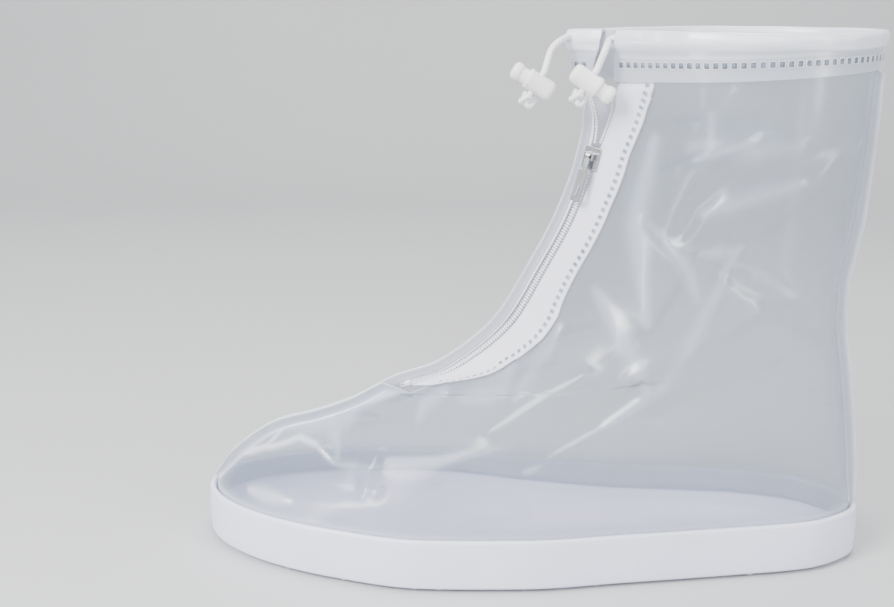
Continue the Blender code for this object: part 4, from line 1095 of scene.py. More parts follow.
def turn_unit(tree, given):
    """One turn of the zip's coil: a flattened ring across the zip."""
    ring = add(tree, "GeometryNodeCurvePrimitiveCircle", {"Resolution": 14, "Radius": 1.0})
    size = add(tree, "ShaderNodeCombineXYZ", {
        "X": given.outputs["Lean"], "Y": given.outputs["Width"], "Z": given.outputs["Height"]})
    stood = add(tree, "GeometryNodeTransform", {
        "Geometry": ring.outputs[0], "Rotation": (0.0, math.pi / 2, 0.0)})
    flat = add(tree, "GeometryNodeTransform", {"Geometry": stood.outputs[0], "Scale": size.outputs[0]})
    wire = add(tree, "GeometryNodeCurvePrimitiveCircle", {"Resolution": 6, "Radius": given.outputs["Wire"]})
    return swept(tree, flat, wire)


def stud_unit(tree, given):
    """One stud of the tread: a low cone with a flat foot."""
    return add(tree, "GeometryNodeMeshCone", {
        "Vertices": 8, "Radius Top": given.outputs["Foot"], "Radius Bottom": given.outputs["Root"],
        "Depth": given.outputs["Depth"]}).outputs[0]


# The cords

def collar_stations():
    """Places round the collar as shares of each side, from the outer front end by the heel to the inner
    side's end; a negative share runs round the front."""
    places = [float(share) for share in body_shares(HEM_STATIONS)]
    outer = [("outer", share) for share in places]
    inner = [("inner", share) for share in places[:0:-1] if share > 0.012] + [("inner", 0.0)]
    wrap = [("inner", -share) for share in (0.15, 0.3, 0.5, 0.75, 1.0)]
    return outer + inner + wrap


def collar_point(side, share, level):
    """The skin at one collar station and level."""
    if share < 0:
        return skin(side, level, np.array([0.0]))[0] + wrap_run(level, -share)
    start = film_edge(level) if side == "outer" else 0.0
    distance = start + share * (total_length(side, level) - start)
    return skin(side, level, np.array([distance]))[0]


def collar_outward(stations):
    """The outward direction in plan at each collar station, lengthened where the line turns, like a mitre."""
    top = np.array([collar_point(side, share, HEM_TOP_LEVEL) for side, share in stations])
    run = unit(np.diff(top, axis=0)[:, :2])
    square = np.stack([run[:, 1], -run[:, 0]], axis=1)
    both = unit(np.vstack([square[:1], square[:-1] + square[1:], square[-1:]]))
    stretch = 1 / np.sum(both * np.vstack([square[:1], square]), axis=1)
    return np.column_stack([both * stretch[:, None], np.zeros(len(both))])


def channel_line():
    """Middle of the drawstring's channel at each of its stations, and the one at the inner front corner."""
    places = [float(share) for share in body_shares(CHANNEL_STATIONS)]
    stations = [("outer", share) for share in places]
    stations += [("inner", share) for share in places[:1:-1] + [0.0]]
    stations += [("inner", -share) for share in (0.4, 1.0)]
    middle = hem_level(1 - 0.5 * CHANNEL_SHARE)
    centres = []
    for (side, share), out in zip(stations, collar_outward(stations)):
        centres.append(collar_point(side, share, middle) - out * FILM / 2)
    return np.array(centres), stations.index(("inner", 0.0))


def corner_direction(line, corner):
    """The way the drawstring points as it leaves the channel at the inner front corner."""
    return unit(line[corner] - line[corner - 2])


def lock_frame(side):
    """Places a cord lock's own axes: Z along the barrel from its mouth, X along the cord's hole."""
    place, direction = LOCKS[side]
    along = Vector(direction).normalized()
    across = Vector((0, 1, 0))
    hole = across.cross(along)
    if hole.z > 0:
        hole, across = -hole, -across
    turn = Matrix((hole, across, along)).transposed().to_4x4()
    return Matrix.Translation(Vector(place)) @ turn @ Matrix.Translation((0, 0, -LOCK_CORD_PLACE))


def cord_end_route(side):
    """The free end's route: out of the channel, through the lock's hole and on to the knot."""
    frame_at = lock_frame(side)
    centre = frame_at @ Vector((0, 0, LOCK_CORD_PLACE))
    hole = frame_at.to_3x3() @ Vector((1, 0, 0))
    reach = LOCK_DIAMETER / 2
    through = [centre - hole * 1.3 * reach, centre, centre + hole * (reach + KNOT_STAND)]
    line, corner = channel_line()
    if side == "outer":
        first = [line[0] + unit(line[0] - line[1]) * FIT_GAP]
    else:
        ahead = corner_direction(line, corner)
        inside = line[corner] - ahead * (CORD_DIAMETER - 2 * FIT_GAP)
        first = [inside, line[corner] + ahead * 1.5 * CORD_DIAMETER]
    middle = [Vector(point) * MM for point in CORD_ROUTES[side]]
    return [np.array(point) for point in first + middle + through]


def make_cords():
    """The held drawstring, its two free ends and their knots."""
    line, corner = channel_line()
    held = line[: corner + 1]
    last = run_lengths(held)[-1] - CORD_DIAMETER
    inside = at_distance(held, np.linspace(FIT_GAP, last, 160))
    tube = tube_mesh("drawstring", inside, CORD_DIAMETER / 2, 12)
    drawstring = add_object("drawstring", tube, cord_finish())
    dress(drawstring, ["hem_cord"])
    for side in ("outer", "inner"):
        path = smooth_route(cord_end_route(side), 0.25 * CORD_DIAMETER)
        name = "cord_tail_" + side
        tail = add_object(name, tube_mesh(name, path, CORD_DIAMETER / 2, 24), cord_finish())
        dress(tail, ["cord_end_" + side])
        knot = make_knot(side)
        lock_pieces(side)


def make_knot(side):
    """An overhand stop knot: three lobes of cord wound into a ball."""
    route = cord_end_route(side)
    ahead = unit(route[-1] - route[-2])
    centre = route[-1] + ahead * (KNOT_SIZE / 2 + FIT_GAP - KNOT_RAISED)
    turn = np.array(Vector(ahead).to_track_quat("Z", "Y").to_matrix())
    turns = np.linspace(0, 2 * math.pi, 96, endpoint=False)
    strand = 0.40 * CORD_DIAMETER
    room = (0.5 * KNOT_SHOWN - 0.6 * strand) / 3.0
    loop = np.stack([np.sin(turns) + 2 * np.sin(2 * turns), np.cos(turns) - 2 * np.cos(2 * turns),
                     -1.9 * np.sin(3 * turns)], axis=1) * room
    name = "stop_knot_" + side
    knot = add_object(name, tube_mesh(name, centre + loop @ turn.T, strand, 14, closed=True), cord_finish())
    return dress(knot, ["cord_knot_" + side])


# The locks

def turned_mesh(name, outline, sides):
    """A turned solid: radius and height pairs from the bottom to the top, closed at both ends."""
    turns = np.linspace(0, 2 * math.pi, sides, endpoint=False)
    rows = []
    for radius, height in outline:
        ring = [radius * np.cos(turns), radius * np.sin(turns), np.full(sides, height)]
        rows.append(np.stack(ring, axis=1))
    return close_ends(grid_mesh(name, rows, close_rows=True), sides)


def carve(piece, cutters):
    """Cuts the cutter meshes out of the piece."""
    guides = []
    for number, mesh in enumerate(cutters):
        guide = bpy.data.objects.new(f"{piece.name}_cutter_{number}", mesh)
        bpy.context.scene.collection.objects.link(guide)
        step = piece.modifiers.new(guide.name, "BOOLEAN")
        step.operation = "DIFFERENCE"
        step.object = guide
        guides.append(guide)
    graph = bpy.context.evaluated_depsgraph_get()
    mesh = bpy.data.meshes.new_from_object(piece.evaluated_get(graph))
    piece.modifiers.clear()
    piece.data = mesh
    for guide in guides:
        bpy.data.objects.remove(guide, do_unlink=True)


def shade_by_angle(piece, degrees):
    """Smooth shading that keeps edges sharper than the angle."""
    piece.data.shade_smooth()
    piece.data.set_sharp_from_angle(angle=math.radians(degrees))


def rod_mesh(name, start, end, radius, sides):
    """A round bar between two points."""
    start, end = Vector(start), Vector(end)
    shape = bmesh.new()
    turn = (end - start).to_track_quat("Z", "Y").to_matrix().to_4x4()
    bmesh.ops.create_cone(
        shape, cap_ends=True, segments=sides, radius1=radius, radius2=radius, depth=(end - start).length,
        matrix=Matrix.Translation((start + end) / 2) @ turn)
    mesh = bpy.data.meshes.new(name)
    shape.to_mesh(mesh)
    shape.free()
    return mesh


def box_mesh(name, low, high):
    """A box between two corners."""
    low, high = Vector(low), Vector(high)
    shape = bmesh.new()
    bmesh.ops.create_cube(shape, size=1.0)
    matrix = Matrix.Translation((low + high) / 2) @ Matrix.Diagonal((*(high - low), 1.0))
    bmesh.ops.transform(shape, matrix=matrix, verts=shape.verts)
    mesh = bpy.data.meshes.new(name)
    shape.to_mesh(mesh)
    shape.free()
    return mesh


def lock_pieces(side):
    """The barrel and the plunger of one cord lock, made once."""
    names = ["toggle_barrel_" + side, "toggle_plunger_" + side]
    found = [bpy.data.objects.get(name) for name in names]
    if None in found:
        found = make_lock(side, *names)
    return found


def make_lock(side, barrel_name, plunger_name):
    """One cord lock: a ribbed barrel with a bore and a cross hole, and the plunger that slides in it."""
    place = lock_frame(side)
    finish = plastic_finish("lock_plastic", colours().lock, 0.28, 0.15)
    radius = LOCK_DIAMETER / 2
    hole = CORD_DIAMETER / 2 + CORD_CLEARANCE
    outline = [(0.90 * radius, 0.0), (0.96 * radius, 0.012 * BARREL_SHOWN), (radius, 0.045 * BARREL_SHOWN)]
    outline += [(radius, 0.13 * BARREL_SHOWN), (0.96 * radius, 0.155 * BARREL_SHOWN)]
    outline += [(0.96 * radius, 0.80 * BARREL_SHOWN)]
    for share in np.linspace(0.1, 1.0, 8):
        turn = 0.5 * math.pi * share
        height = BARREL_SHOWN * (0.80 + 0.20 * math.sin(turn))
        outline.append((radius * (0.50 + 0.46 * math.cos(turn)), height))
    barrel = add_object(barrel_name, turned_mesh(barrel_name, outline, 56), finish)
    carve(barrel, [
        rod_mesh("bore", (0, 0, -2 * MM), (0, 0, 0.9 * BARREL_SHOWN), BORE_SHOWN / 2, 48),
        rod_mesh("cross", (-radius * 2, 0, LOCK_CORD_PLACE), (radius * 2, 0, LOCK_CORD_PLACE), hole, 32),
    ])
    barrel.data.transform(place)
    shade_by_angle(barrel, 35)
    dress(barrel, ["lock_barrel_" + side])
    head = PLUNGER_HEAD / 2
    stem = STEM_SHOWN / 2
    face = -PLUNGER_STAND
    end = 0.9 * BARREL_SHOWN - PLUNGER_TRAVEL - FIT_GAP
    outline = []
    for share in np.linspace(0.0, 1.0, 8):
        turn = 0.5 * math.pi * share
        height = face - HEAD_SHOWN * (0.5 + 0.5 * math.cos(turn))
        outline.append((head * (0.35 + 0.65 * math.sin(turn)), height))
    outline += [(0.99 * head, face - 0.10 * HEAD_SHOWN), (0.94 * head, face)]
    outline += [(stem, face + 0.1 * MM), (stem, end)]
    plunger = add_object(plunger_name, turned_mesh(plunger_name, outline, 48), finish)
    low = LOCK_CORD_PLACE - PLUNGER_TRAVEL - hole
    side_room = hole - 0.1 * MM
    slot = box_mesh("slot", (-2 * stem, -side_room, low), (2 * stem, side_room, LOCK_CORD_PLACE + hole))
    carve(plunger, [slot])
    plunger.data.transform(place)
    shade_by_angle(plunger, 35)
    dress(plunger, ["lock_plunger_" + side], "plunger_" + side)
    return [barrel, plunger]


# The sole

def make_sole():
    """The moulded tray: rounded foot and rim, a floor, and a tread of studs under it."""
    foot = 1.8 * MM
    ladder = []
    for share in np.linspace(0, 1, 6):
        turn = 0.5 * math.pi * share
        ladder.append((foot * (1 - math.sin(turn)), TREAD_DEPTH + foot * (1 - math.cos(turn))))
    rim = 0.5 * SOLE_WALL
    ladder += [(-0.25 * MM, 0.35 * SOLE_HEIGHT), (-0.35 * MM, 0.6 * SOLE_HEIGHT)]
    ladder += [(-0.1 * MM, 0.85 * SOLE_HEIGHT)]
    for share in np.linspace(0, 1, 9):
        turn = math.pi * share
        ladder.append((rim * (1 - math.cos(turn)), SOLE_HEIGHT - rim * (1 - math.sin(turn))))
    ladder += [(SOLE_WALL, SOLE_FLOOR + 2.5 * MM), (SOLE_WALL + 0.7 * MM, SOLE_FLOOR + 0.7 * MM),
               (SOLE_WALL + 2.5 * MM, SOLE_FLOOR)]
    rows = [sole_loop(inset, height) for inset, height in ladder]
    mesh = close_ends(grid_mesh("sole_tray", rows, close_rows=True), len(rows[0]), flat_ends=True)
    sole = add_object("sole_tray", mesh, sole_finish())
    shade_by_angle(sole, 40)
    dress(sole, ["sole"])
    make_tread()


def make_tread():
    """Studs in staggered rows under the sole."""
    pitch = sizes().tread_pitch
    edge = sole_loop(0.7 * pitch, 0.0, 90)[:, :2]
    places = []
    half = 0.5 * SOLE_LENGTH
    for number, along in enumerate(np.arange(-half + 0.6 * pitch, half, 0.87 * pitch)):
        crossing = []
        for start, end in zip(edge, np.roll(edge, -1, axis=0)):
            if (start[0] - along) * (end[0] - along) < 0:
                crossing.append(start[1] + (end[1] - start[1]) * (along - start[0]) / (end[0] - start[0]))
        if len(crossing) == 2:
            row = np.arange(-15, 16) * pitch + (number % 2) * 0.5 * pitch
            places += [(along, y, 0.0) for y in row if min(crossing) < y < max(crossing)]
    count = len(places)
    tread = scatter(
        "tread_studs", places, np.tile((1.0, 0.0, 0.0), (count, 1)), np.tile((0.0, 0.0, 1.0), (count, 1)),
        stud_unit, {"Foot": 0.42 * pitch, "Root": 0.27 * pitch, "Depth": TREAD_DEPTH + 0.4 * MM},
        sole_finish())
    dress(tread)


# The film

def panel_row(side, level, shares):
    """One row of a panel's skin: front edge or flange, the side, and the heel flange; and its milkiness, with
    the creases' painted highlights.
    """
    length = total_length(side, level)
    zipped = side == "outer" and level > ZIP_BOTTOM_LEVEL
    start = film_edge(level) if zipped else 0.0
    distances = start + (length - start) * shares
    body = skin(side, level, distances)
    steps = np.array(FRONT_STEPS)[:, None]
    if zipped:
        front = body[0] + (body[0] - body[1]) * steps
    elif side == "inner":
        wrap = float(ease((level - WRAP_LEVEL) / (HEM_LOW_LEVEL - 0.1 - WRAP_LEVEL)))
        narrow = 1 - 0.92 * float(ease((level - WRAP_LEVEL + 0.65) / 0.65))
        forward = body[0] + front_direction(level) * flange_width(level) * narrow * steps
        around = body[0] + wrap_run(level, 0.97) * steps
        front = (1 - wrap) * forward + wrap * around
    else:
        front = body[0] + front_direction(level) * flange_width(level) * steps
    ends_under_hem = 1 - 0.96 * float(ease((level - HEM_LOW_LEVEL + 0.4) / 0.3))
    heel_reach = flange_width(level) * ends_under_hem
    heel = body[-1] + np.array([1.0, 0.0, 0.0]) * heel_reach * np.array(HEEL_STEPS)[:, None]
    from_front = distances - start
    seam = 0.75 * np.exp(-from_front / (1.6 * MM)) + 0.6 * np.exp(-(length - distances) / (1.2 * MM))
    bottom = 0.55 * math.exp(-max(level, 0.0) / 0.25)
    milk_and_highlight = np.clip(skin_highlight(side, level, distances) + seam + bottom, 0, 1)
    front_milk = np.array([1.0, 0.75, 0.45, 0.5, 0.65]) if not zipped else np.full(5, 0.5)
    milk_and_highlight = np.concatenate([front_milk, milk_and_highlight, [0.45, 0.5, 0.9, 1.0]])
    return np.vstack([front, body, heel]), milk_and_highlight


def lap_row(side, height, reach, shares):
    """A row of a panel's skin inside the tray, where the film is welded to the wall."""
    line = section(side, 0.0)
    line[:, 2] = height
    body = at_distance(line, shares * run_lengths(line)[-1])
    steps = np.array(FRONT_STEPS)[:, None]
    front = body[0] + np.array([-reach, 0.0, 0.0]) * steps
    heel = body[-1] + np.array([reach, 0.0, 0.0]) * np.array(HEEL_STEPS)[:, None]
    row = np.vstack([front, body, heel])
    return row, np.full(len(row), 0.6)


def make_panel(side):
    """One side panel of film with its welded flanges."""
    small = 0.1 * FLANGE_WIDTH
    shares = body_shares(COLUMNS)
    lap_heights = (SOLE_HEIGHT - LAP_DEPTH, SOLE_HEIGHT - 0.4 * LAP_DEPTH, SOLE_HEIGHT + FIT_GAP)
    laps = len(lap_heights)
    found = [lap_row(side, height, small, shares) for height in lap_heights]
    below = np.linspace(0.05, ZIP_BOTTOM_LEVEL, 84)
    above = np.linspace(ZIP_BOTTOM_LEVEL + 0.03, WRAP_LEVEL - 1.0, 80)
    hemmed = np.linspace(WRAP_LEVEL - 0.9, FILM_TOP_LEVEL, 30)
    for level in np.concatenate([below, above, hemmed]):
        found.append(panel_row(side, float(level), shares))
    rows = np.array([row for row, _ in found])
    milk_and_highlight = np.array([white for _, white in found])
    name = "film_" + side
    finish = film_finish("clear_film_sheet", colours().film_alpha, 0.80)
    panel = add_object(name, grid_mesh(name, rows, flip=side == "inner", milk_and_highlight=milk_and_highlight), finish)
    thicken(panel, FILM_SHOWN)
    dress(panel, ["side_panel_" + side])
    fronts = rows[laps:, 0] if side == "inner" else rows[laps : laps + len(below), 0]
    for edge, path in (("front", fronts), ("heel", rows[laps : -len(hemmed), -1])):
        name = f"cut_edge_{side}_{edge}"
        bead = add_object(name, tube_mesh(name, path, EDGE_BEAD_RADIUS, 8), cut_edge_finish())
        dress(bead)


# The hem

def hem_wrinkle(rise, place):
    """Height, from 0 to about 1, of the wrinkles that run along the channel; place is in millimetres."""
    first = 0.70 + 0.045 * math.sin(place / 29.0 + 0.6) + 0.02 * math.sin(place / 9.0)
    second = 0.86 + 0.035 * math.sin(place / 21.0 + 2.2) + 0.015 * math.sin(place / 6.0 + 1.0)
    third = 0.55 + 0.05 * math.sin(place / 37.0 + 4.0)
    fade = 0.5 + 0.5 * math.sin(place / 26.0)
    total = math.exp(-(((rise - first) / 0.035) ** 2)) + 0.7 * math.exp(-(((rise - second) / 0.03) ** 2))
    return total + 0.6 * fade * math.exp(-(((rise - third) / 0.03) ** 2))


def make_hem():
    """The folded band: two legs either side of the film's top edge and the drawstring's puckered channel."""
    legs_out = HEM_GAP + HEM_FILM
    legs_in = FILM + HEM_GAP + HEM_FILM
    middle = -FILM / 2
    bulge = CHANNEL_THICK / 2
    hollow = bulge - HEM_FILM
    start = 1 - CHANNEL_SHARE
    turns = np.linspace(0, math.pi, 25)
    rises = start + CHANNEL_SHARE * np.sin(0.5 * math.pi * np.clip(np.sin(turns) * 1.02, 0, 1))
    outs = np.cos(turns)
    leg = np.linspace(0, 0.97 * start, 19)
    profile = [(rise, legs_out) for rise in leg]
    profile += [(rise, middle + bulge * out) for rise, out in zip(rises[1:-1], outs[1:-1])]
    profile += [(rise, -legs_in) for rise in leg[::-1]]
    inner_rises = start + (rises - start) * 0.82 + 0.01
    profile += [(rise, HEM_FILM - legs_in) for rise in leg]
    profile += [(rise, middle - hollow * out) for rise, out in zip(inner_rises[1:-1], outs[1:-1])]
    profile += [(rise, HEM_GAP) for rise in leg[::-1]]
    stations = collar_stations()
    outward = collar_outward(stations)
    line = np.array([collar_point(side, share, HEM_TOP_LEVEL) for side, share in stations])
    along = run_lengths(line)
    rings = []
    milk_and_highlight = []
    for number, ((side, share), out) in enumerate(zip(stations, outward)):
        ring = []
        place = along[number] / MM
        pucker = 0.30 * MM * math.sin(place / 3.1) * math.sin(place / 7.7 + 1.0)
        pucker += 0.12 * MM * math.sin(place / 1.3)
        dip = 0.010 * math.sin(place / 17.0) + 0.006 * math.sin(place / 6.3 + 2.0)
        lines = [hem_wrinkle(rise, place) for rise, _ in profile]
        for (rise, lift), line_height in zip(profile, lines):
            outside = 1 if lift > HEM_GAP else 0
            gather = float(ease((rise - 0.45) / 0.3)) * outside
            at = collar_point(side, share, min(hem_level(rise + dip * rise), HEM_TOP_LEVEL))
            ring.append(at + out * (lift + pucker * gather + 0.45 * MM * line_height * outside))
        rings.append(ring)
        white = [0.60 + 0.34 * float(ease((rise - 0.60) / 0.15)) for rise, _ in profile]
        milk_and_highlight.append([min(base + 0.35 * line_height, 1.0) for base, line_height in zip(white, lines)])
    finish = film_finish("hem_film_sheet", 0.30, 0.88)
    mesh = close_ends(grid_mesh("hem_band", rings, milk_and_highlight=milk_and_highlight, close_rows=True), len(profile))
    hem = add_object("hem_band", mesh, finish)
    shade_by_angle(hem, 50)
    dress(hem, ["collar_hem"])
    make_hem_weld()


def make_hem_weld():
    """The row of weld cells below the channel, round the outside of the hem."""
    stations = collar_stations()
    outward = collar_outward(stations)
    level = hem_level(HEM_WELD_RISE)
    lifted = HEM_GAP + HEM_FILM + 0.05 * MM
    line = np.array([collar_point(side, share, level) for side, share in stations]) + outward * lifted
    above = np.array([collar_point(side, share, level + 0.2) for side, share in stations]) + outward * lifted
    total = run_lengths(line)[-1]
    pitch = sizes().hem_pitch
    distances = np.arange(pitch, total - pitch, pitch)
    places = at_distance(line, distances)
    ahead = ahead_at(line, distances, pitch)
    up = at_distance(above, distances * run_lengths(above)[-1] / total) - places
    out = unit(np.cross(ahead, up))
    weld_row("hem_weld_cells", places, ahead, out, *HEM_CELL)


# The zip

def make_tapes():
    """The two woven tapes, the outer one's selvedge, and the weld cells on the outer one."""
    rows = []
    cells = []
    levels = np.linspace(ZIP_BOTTOM_LEVEL + 0.3, TAPE_TOP_LEVEL, 124)
    for level in levels:
        square = slant(level)
        inner = outer_coil_place(level) + (COIL_WIDTH / 2 + 2 * FIT_GAP) / square
        pointed = 0.3 + 0.7 * float(ease(level - ZIP_BOTTOM_LEVEL))
        width = TAPE_WIDTH * pointed + TAPE_FLARE * float(ease((level - 10.5) / 3.5))
        places = inner + width / square * np.linspace(0, 1, 15)
        tucked = float(ease((level - HEM_LOW_LEVEL + 0.35) / 0.3))
        lift = (2 * FIT_GAP + TAPE_THICK) * (1 - tucked) + 0.75 * HEM_GAP * tucked
        rows.append(skin("outer", float(level), places, lift))
        cells.append(skin("outer", float(level), places[[11, 12]], lift))
    rows = np.array(rows)
    tape = add_object("tape_outer", grid_mesh("tape_outer", rows, uv=cloth_uv(rows)), tape_finish())
    thicken(tape, TAPE_SHOWN)
    dress(tape, ["zip_tape_outer"])
    name = "tape_selvedge_outer"
    edge = rows[levels < SELVEDGE_TOP_LEVEL, -1]
    selvedge = add_object(name, tube_mesh(name, edge, SELVEDGE_RADIUS, 10), tape_finish())
    dress(selvedge)
    make_tape_weld(np.array(cells))
    under = -(FILM + 2 * FIT_GAP)
    rise = COIL_LIFT + TAPE_THICK / 2
    rows = []
    for level in np.linspace(ZIP_BOTTOM_LEVEL + 0.3, WRAP_LEVEL - 0.05, 110):
        level = float(level)
        inner = skin("inner", level, TAPE_UNDER * np.array([1, 0.8, 0.6, 0.4, 0.2, 0.06]), under)
        edge = inner_coil_place(level) - (COIL_WIDTH / 2 + 3 * FIT_GAP) / slant(level)
        edge = max(edge, 4 * FIT_GAP)
        nose = skin("outer", level, np.array([FIT_GAP]), under)
        outer = skin("outer", level, np.array([0.35, 0.65, 1.0]) * edge, rise)
        rows.append(np.vstack([inner, nose, outer]))
    rows = np.array(rows)
    tape = add_object("tape_inner", grid_mesh("tape_inner", rows, uv=cloth_uv(rows)), tape_finish())
    thicken(tape, TAPE_SHOWN)
    dress(tape, ["zip_tape_inner"])


def make_tape_weld(pairs):
    """Weld cells along the tape's outer third."""
    line = pairs.mean(axis=1)
    across = unit(pairs[:, 1] - pairs[:, 0])
    total = run_lengths(line)[-1]
    pitch = sizes().cell_pitch
    distances = np.arange(2 * pitch, total - pitch, pitch)
    places = at_distance(line, distances)
    ahead = ahead_at(line, distances, pitch)
    share = distances / total * (len(across) - 1)
    sideways = across[np.round(share).astype(int)]
    out = unit(np.cross(sideways, ahead))
    out *= np.sign(-out[:, 1:2])
    weld_row("tape_weld_cells", places, ahead, out, *TAPE_CELL)


def coil_line(levels, place, lift):
    """Middle and outward normal of a coil at these levels."""
    middle = []
    out = []
    for level in levels:
        level = float(level)
        distance = np.array([place(level)])
        low = skin("outer", level, distance)[0]
        normal = unit(skin("outer", level, distance, 1 * MM)[0] - low)
        middle.append(low + normal * lift(level))
        out.append(normal)
    return np.array(middle), np.array(out)


def make_coil(name, node, levels, place, lift, width):
    """One stretch of coil: turns of wire over a white core."""
    line, normals = coil_line(levels, place, lift)
    total = run_lengths(line)[-1]
    pitch = sizes().tooth_pitch
    distances = np.arange(0.5 * pitch, total, pitch)
    places = at_distance(line, distances)
    ahead = ahead_at(line, distances, pitch)
    out = unit(at_distance(normals, np.interp(distances, run_lengths(line), run_lengths(normals))))
    turn_sizes = {
        "Lean": 0.25 * MM, "Width": 0.54 * width - COIL_WIRE, "Height": 0.5 * COIL_THICK - COIL_WIRE,
        "Wire": COIL_WIRE}
    turns = scatter(name, places, ahead, out, turn_unit, turn_sizes, coil_finish())
    dress(turns, [node])
    name += "_core"
    core = add_object(name, tube_mesh(name, line, 0.24 * COIL_THICK, 10), tape_finish())
    dress(core)


def outer_coil_lift(level):
    """The outer coil rises over the film's front edge where the tape has drawn back past it."""
    past = outer_coil_place(level) + COIL_WIDTH - film_edge(level)
    return COIL_LIFT + (COIL_OVER_FILM - COIL_LIFT) * float(ease(0.5 + past / COIL_WIDTH))


def make_coils():
    """The closed coil below the slider and its two halves above it."""
    start = SLIDER_LEVEL + 0.55
    half = COIL_WIDTH / 2
    shift = SLIDER_WIDTH / 8
    closed = np.linspace(ZIP_BOTTOM_LEVEL + 0.45, SLIDER_LEVEL + 0.1, 120)
    make_coil("coil_closed", "zip_coil_closed", closed, outer_coil_place, lambda level: COIL_LIFT, COIL_WIDTH)
    levels = np.linspace(start, HEM_LOW_LEVEL - 0.2, 60)
    make_coil("coil_outer", "zip_coil_outer", levels, lambda at: outer_coil_place(at) + shift,
              outer_coil_lift, half)
    levels = np.linspace(start, WRAP_LEVEL - 0.05, 60)
    make_coil("coil_inner", "zip_coil_inner", levels, lambda at: inner_coil_place(at) - shift,
              lambda level: COIL_LIFT, half)


def finish_solids():
    """The slider, its pull and the bottom stop keep their solids and get their finishes."""
    for name, finish in (
        ("zip_slider", metal_finish()),
        ("zip_pull", metal_finish()),
        ("zip_bottom_stop", coil_finish()),
    ):
        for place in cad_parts[name].material_slots:
            place.material = finish


# The stage

def area_light(name, place, target, size, power, size_y=None):
    """A rectangular lamp that faces its target."""
    data = bpy.data.lights.new(name, "AREA")
    data.shape = "RECTANGLE"
    data.size = size
    data.size_y = size_y or size
    data.energy = power
    lamp = bpy.data.objects.new(name, data)
    bpy.context.scene.collection.objects.link(lamp)
    lamp.location = place
    lamp.rotation_euler = (Vector(target) - Vector(place)).to_track_quat("-Z", "Y").to_euler()


def make_stage():
    """The camera, a pale floor that sweeps up behind, and soft studio light."""
    scene = bpy.context.scene
    camera_data = bpy.data.cameras.new("camera")
    camera_data.lens = CAMERA_LENS
    camera_data.sensor_fit = "HORIZONTAL"
    camera_data.sensor_width = 36.0
    camera_data.clip_start = 0.01
    camera = bpy.data.objects.new("camera", camera_data)
    scene.collection.objects.link(camera)
    camera.location = CAMERA_PLACE
    camera.rotation_euler = [math.radians(angle) for angle in CAMERA_TURN]
    scene.camera = camera
    sweep = []
    for share in np.linspace(0, 1, 12):
        turn = 0.5 * math.pi * share
        sweep.append((0.9 + 0.5 * math.sin(turn), 0.5 * (1 - math.cos(turn))))
    profile = [(-1.5, 0.0), (0.6, 0.0), *sweep, (1.4, 2.2)]
    rows = [[(x, y, z) for x in (-3.0, 3.0)] for y, z in profile]
    made, tree, shader, fresh = new_material("studio_paper")
    if fresh:
        tone = grouped(tree, grime(), {"Scale": 3.0}).outputs["Tone"]
        paper = mix_colour(tree, tone, (0.55, 0.555, 0.56), (0.535, 0.54, 0.545))
        tree.links.new(paper, shader.inputs["Base Color"])
        set_shader(shader, Roughness=0.7)
    floor = add_object("studio_floor", grid_mesh("studio_floor", rows), made)
    floor.location.z = -0.0002
    world = bpy.data.worlds.new("studio")
    world.use_nodes = True
    world.node_tree.nodes["Background"].inputs["Color"].default_value = (0.93, 0.95, 1.0, 1.0)
    world.node_tree.nodes["Background"].inputs["Strength"].default_value = 0.60
    scene.world = world
    middle = (0.0, 0.0, 0.10)
    area_light("softbox_left", (-0.9, -0.9, 1.1), middle, 0.7, 40.0)
    area_light("softbox_top", (0.1, 0.1, 1.5), middle, 1.0, 22.0)
    area_light("strip_front", (0.0, -1.0, 0.85), middle, 1.0, 9.0, 0.2)
    area_light("strip_left", (-0.75, -0.62, 0.35), middle, 0.10, 4.0, 0.8)
    area_light("strip_right", (0.8, -0.55, 0.45), middle, 0.10, 5.0, 0.9)


class PieceOperator:
    """What the operators share: each one makes its pieces and is undoable"""

    bl_options = {"REGISTER", "UNDO"}

    def execute(self, context):
        self.make()
        return {"FINISHED"}


class COVER_OT_stage(PieceOperator, bpy.types.Operator):
    """Set up the camera, the floor and the lights"""

    bl_idname = "cover.stage"
    bl_label = "Stage"

    def make(self):
        make_stage()


class COVER_OT_cords(PieceOperator, bpy.types.Operator):
    """Make the drawstring, its free ends and their knots"""

    bl_idname = "cover.cords"
    bl_label = "Drawstring"

    def make(self):
        make_cords()


class COVER_OT_locks(PieceOperator, bpy.types.Operator):
    """Make the two cord locks"""

    bl_idname = "cover.locks"
    bl_label = "Cord locks"

    def make(self):
        for side in ("outer", "inner"):
            lock_pieces(side)


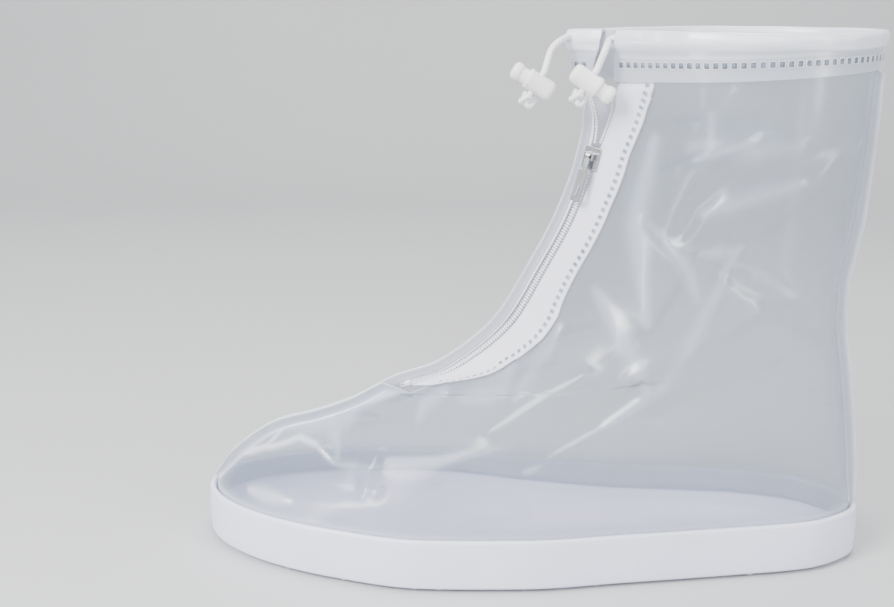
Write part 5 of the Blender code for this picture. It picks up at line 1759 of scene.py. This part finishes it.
class COVER_OT_sole(PieceOperator, bpy.types.Operator):
    """Make the sole tray and its tread"""

    bl_idname = "cover.sole"
    bl_label = "Sole"

    def make(self):
        make_sole()


class COVER_OT_film(PieceOperator, bpy.types.Operator):
    """Make the two film side panels"""

    bl_idname = "cover.film"
    bl_label = "Film panels"

    def make(self):
        for side in ("outer", "inner"):
            make_panel(side)


class COVER_OT_hem(PieceOperator, bpy.types.Operator):
    """Make the collar's hem and its weld"""

    bl_idname = "cover.hem"
    bl_label = "Hem"

    def make(self):
        make_hem()


class COVER_OT_zip(PieceOperator, bpy.types.Operator):
    """Make the zip's tapes and coils, and finish its slider"""

    bl_idname = "cover.zip"
    bl_label = "Zip"

    def make(self):
        make_tapes()
        make_coils()
        finish_solids()


OPERATORS = (
    COVER_OT_stage, COVER_OT_locks, COVER_OT_cords, COVER_OT_sole, COVER_OT_film, COVER_OT_hem, COVER_OT_zip,
)


class COVER_PT_panel(bpy.types.Panel):
    """Sizes, colours and the steps of the shoe cover"""

    bl_idname = "COVER_PT_panel"
    bl_label = "Shoe cover"
    bl_space_type = "VIEW_3D"
    bl_region_type = "UI"
    bl_category = "Shoe cover"

    def draw(self, context):
        for group in (context.scene.cover_sizes, context.scene.cover_colours):
            box = self.layout.box()
            for name in group.bl_rna.properties.keys():
                if name not in {"name", "rna_type"}:
                    box.prop(group, name)
        for operator in OPERATORS:
            self.layout.operator(operator.bl_idname)


CLASSES = (CoverSizes, CoverColours, *OPERATORS, COVER_PT_panel)


def register():
    for kind in CLASSES:
        bpy.utils.register_class(kind)
    bpy.types.Scene.cover_sizes = bpy.props.PointerProperty(type=CoverSizes)
    bpy.types.Scene.cover_colours = bpy.props.PointerProperty(type=CoverColours)


def unregister():
    del bpy.types.Scene.cover_colours
    del bpy.types.Scene.cover_sizes
    for kind in reversed(CLASSES):
        bpy.utils.unregister_class(kind)


def main():
    register()
    bpy.ops.cover.stage()
    bpy.ops.cover.locks()
    bpy.ops.cover.cords()
    bpy.ops.cover.sole()
    bpy.ops.cover.film()
    bpy.ops.cover.hem()
    bpy.ops.cover.zip()


if __name__ == "__main__":
    main()
